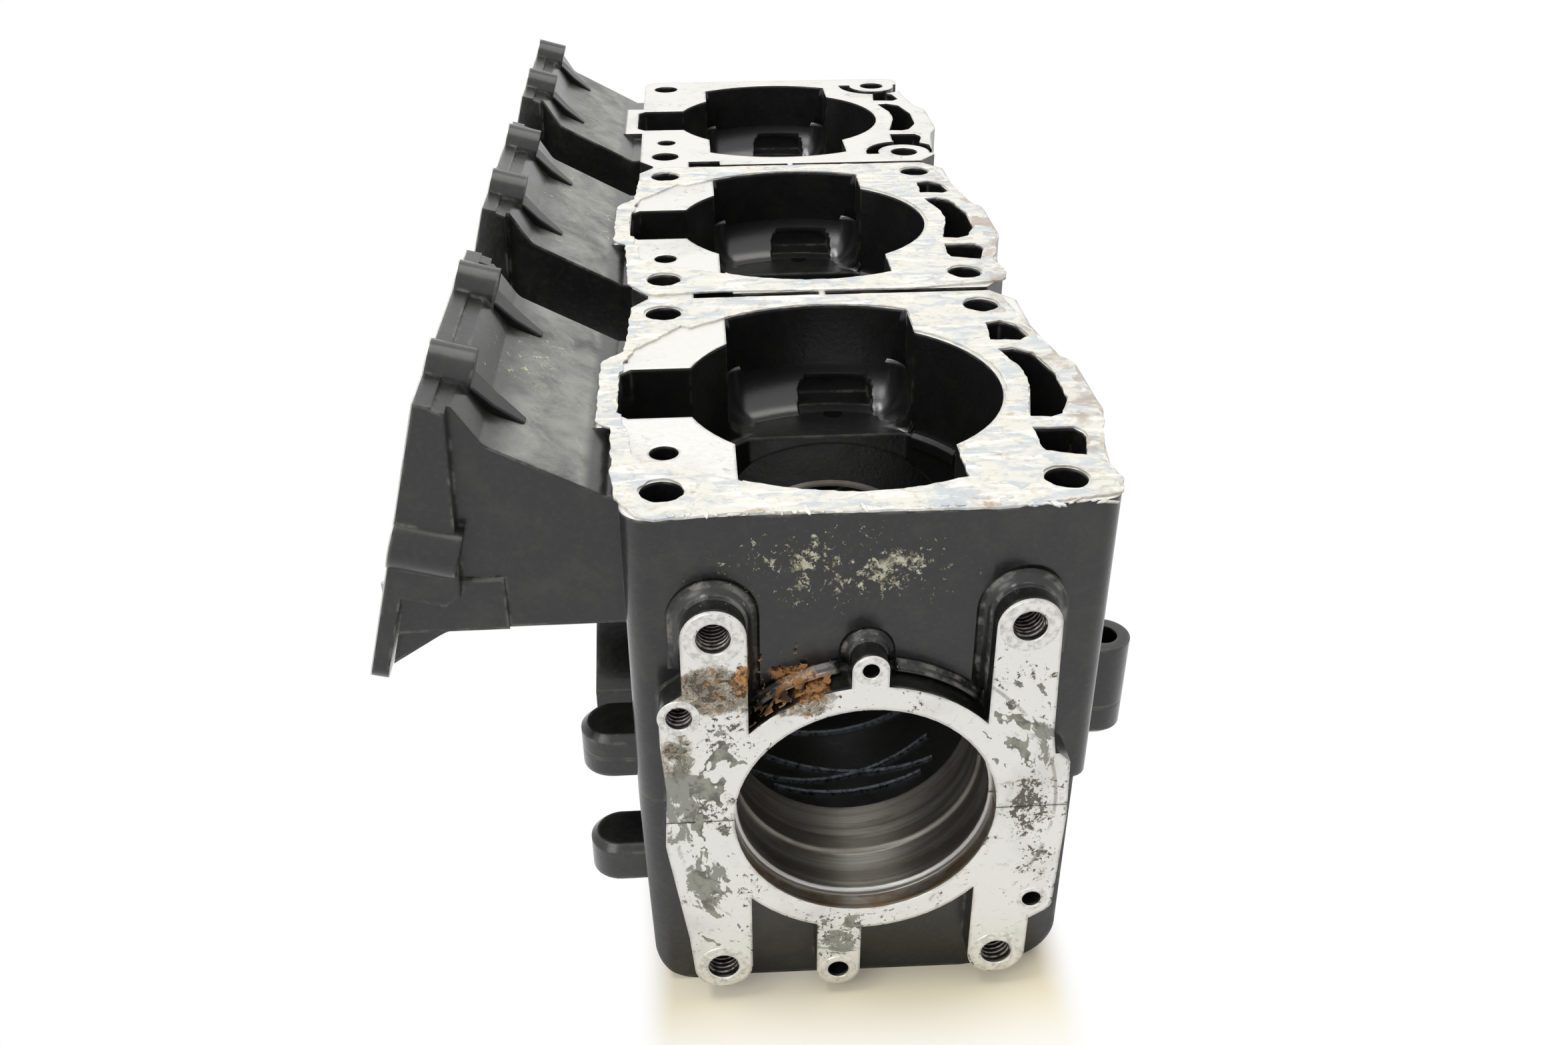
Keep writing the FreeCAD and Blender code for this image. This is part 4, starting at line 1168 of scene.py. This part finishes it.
sheet = bmesh.new()
cornerFoot = pocket["shelf"] + pocket["footUp"] - pocket["cornerUnder"]
cornerTop = deckHeight - pocket["deckGap"]
rings = []
for share in (0.0, 0.25, 0.5, 0.75, 1.0):
    radius = pocket["footOut"] + (pocket["topCorner"] - pocket["footOut"]) * share
    rings.append((radius, cornerFoot + (cornerTop - cornerFoot) * share))
for centre, sense in rowSides:
    for side in (pocket["left"], pocket["right"]):
        along = math.sqrt(pocket["radius"] ** 2 - side * side)
        corner = Vector((side, centre + sense * along))
        straight = Vector((0.0, -float(sense)))
        curve = Vector((-math.copysign(along, side), sense * abs(side))).normalized()
        cornerFillet(sheet, corner, straight, curve, rings)
cast("pocketCorners", sheet, glossFinish, smooth=True)

# Oil holes: near-black discs set into the shelf, painted shade where the hole is
sheet = bmesh.new()
holeX, holeY, holeRadius = pocket["oilHole"]
heights = (pocket["shelf"] - pocket["oilDepth"], pocket["shelf"] + pocket["oilRim"])
angles = [math.tau * step / pocket["oilSides"] for step in range(pocket["oilSides"])]
for centre, sense in rowSides:
    rim = []
    for angle in angles:
        away = holeY + math.sin(angle) * holeRadius
        rim.append((holeX + math.cos(angle) * holeRadius, centre + sense * away))
    loft(sheet, [[(x, y, z) for x, y in rim] for z in heights])
cast("oilHoles", sheet, holeShadeFinish)
print("ledges, ridges and fillets cast")

# Floor, lamps and camera
studio = {
    "floorSize": 12.0,
    "floorColour": colour(0.93, 0.93, 0.92),
    # the warm tan of the painted shadow under the block
    "floorWarm": colour(0.97, 0.89, 0.68),
    "white": colour(1.0, 1.0, 1.0),
    "footprint": (0.052, 0.2155),
    "sideways": 3.0,
    "whiteFrom": 0.006,
    "whiteTo": 0.045,
    "warmFrom": 0.09,
    "warmTo": 0.03,
    "world": 0.55,
    # place, target, width, depth, power, tint
    "lamps": {
        "keyBox": ((0.25, 0.35, 1.10), (0.0, blockLength / 2, 0.0), 0.9, 0.7, 4.5, (1.0, 0.98, 0.95)),
        "edgeStrip": ((-0.45, 0.20, 1.10), (-0.05, 0.20, 0.05), 1.0, 0.22, 7.0, (1.0, 1.0, 1.0)),
        "fillBox": ((-0.7, -0.7, 0.7), (0.0, 0.0, 0.0), 0.55, 0.55, 3.0, (0.97, 0.98, 1.0)),
    },
}


def floorLook(middle):
    # A warm tan painted shadow under the block, white to the camera and to gloss further out
    made = Finish("studioFloor")
    across = ((made.x - middle[0]).size() - studio["footprint"][0]).most(0.0) * studio["sideways"]
    depth = ((made.y - middle[1]).size() - studio["footprint"][1]).most(0.0)
    away = (across * across + depth * depth).root()
    grain = made.noise(8.0, 2.0, 0.5)
    cloth = made.noise(60.0, 3.0, 0.5)
    # Painted shadow: a warm tan tint on the floor that fades out within a few centimetres of the block
    shadeShare = made.rise(away + cloth * 0.03, studio["warmFrom"], studio["warmTo"])
    tint = made.mix(shadeShare, studio["floorColour"], studio["floorWarm"])
    diffuse = made.node("ShaderNodeBsdfDiffuse", {}, {"Color": tint, "Roughness": 0.5})
    white = made.node("ShaderNodeEmission", {}, {"Color": studio["white"], "Strength": 1.0})
    kinds = ("Is Camera Ray", "Is Glossy Ray", "Is Transmission Ray")
    camera, glossy, through = (made.node("ShaderNodeLightPath", out=kind) for kind in kinds)
    share = camera.most(glossy).most(through)
    share = share * made.rise(away + grain * 0.02, studio["whiteFrom"], studio["whiteTo"])
    mixed = made.node("ShaderNodeMixShader", {}, [share, diffuse, white])
    made.tree.links.new(mixed.socket, made.output.inputs["Surface"])
    return made.look


half = studio["floorSize"] / 2
floorMesh = bpy.data.meshes.new("studioFloor")
corners = [(-half, -half), (half, -half), (half, half), (-half, half)]
floorMesh.from_pydata([(a, b, floorHeight) for a, b in corners], [], [(0, 1, 2, 3)])
floorMesh.materials.append(floorLook((0.0, blockLength / 2)))
floor = bpy.data.objects.new("studioFloor", floorMesh)
bpy.context.collection.objects.link(floor)

world = bpy.data.worlds.new("studio")
bpy.context.scene.world = world
world.use_nodes = True
sky = world.node_tree
sky.nodes.clear()
rays = addNode(sky, "ShaderNodeLightPath").outputs
larger = {"operation": "MAXIMUM"}
seen = addNode(sky, "ShaderNodeMath", larger, [rays["Is Camera Ray"], rays["Is Glossy Ray"]])
seen = addNode(sky, "ShaderNodeMath", larger, [seen.outputs[0], rays["Is Transmission Ray"]])
sockets = {"Color": studio["white"], "Strength": studio["world"]}
ambient = addNode(sky, "ShaderNodeBackground", {}, sockets)
backdrop = addNode(sky, "ShaderNodeBackground", {}, {"Color": studio["white"], "Strength": 1.0})
sockets = [seen.outputs[0], ambient.outputs[0], backdrop.outputs[0]]
choice = addNode(sky, "ShaderNodeMixShader", {}, sockets)
addNode(sky, "ShaderNodeOutputWorld", {}, {"Surface": choice.outputs[0]})

for name, (place, target, width, depth, power, tint) in studio["lamps"].items():
    lamp = bpy.data.lights.new(name, "AREA")
    lamp.shape = "RECTANGLE"
    lamp.size = width
    lamp.size_y = depth
    lamp.energy = power
    lamp.color = tint
    item = bpy.data.objects.new(name, lamp)
    item.location = place
    item.rotation_euler = (Vector(target) - Vector(place)).to_track_quat("-Z", "Y").to_euler()
    bpy.context.collection.objects.link(item)

viewpoint = {
    "place": (-0.039656, -0.272285, 0.251366),
    "ahead": (0.0583137, 0.857026, -0.511963),
    "roll": math.radians(-0.11),
    "lens": 32.337,
    "sensor": 36.0,
    "nearest": 0.01,
}
cameraData = bpy.data.cameras.new("camera")
cameraData.lens = viewpoint["lens"]
cameraData.sensor_width = viewpoint["sensor"]
cameraData.clip_start = viewpoint["nearest"]
camera = bpy.data.objects.new("camera", cameraData)
turn = Vector(viewpoint["ahead"]).to_track_quat("-Z", "Y").to_matrix().to_4x4()
roll = Matrix.Rotation(viewpoint["roll"], 4, "Z")
camera.matrix_world = Matrix.Translation(viewpoint["place"]) @ turn @ roll
bpy.context.collection.objects.link(camera)
bpy.context.scene.camera = camera
bpy.context.scene.view_settings.view_transform = "Standard"
print("floor, lamps and camera placed")
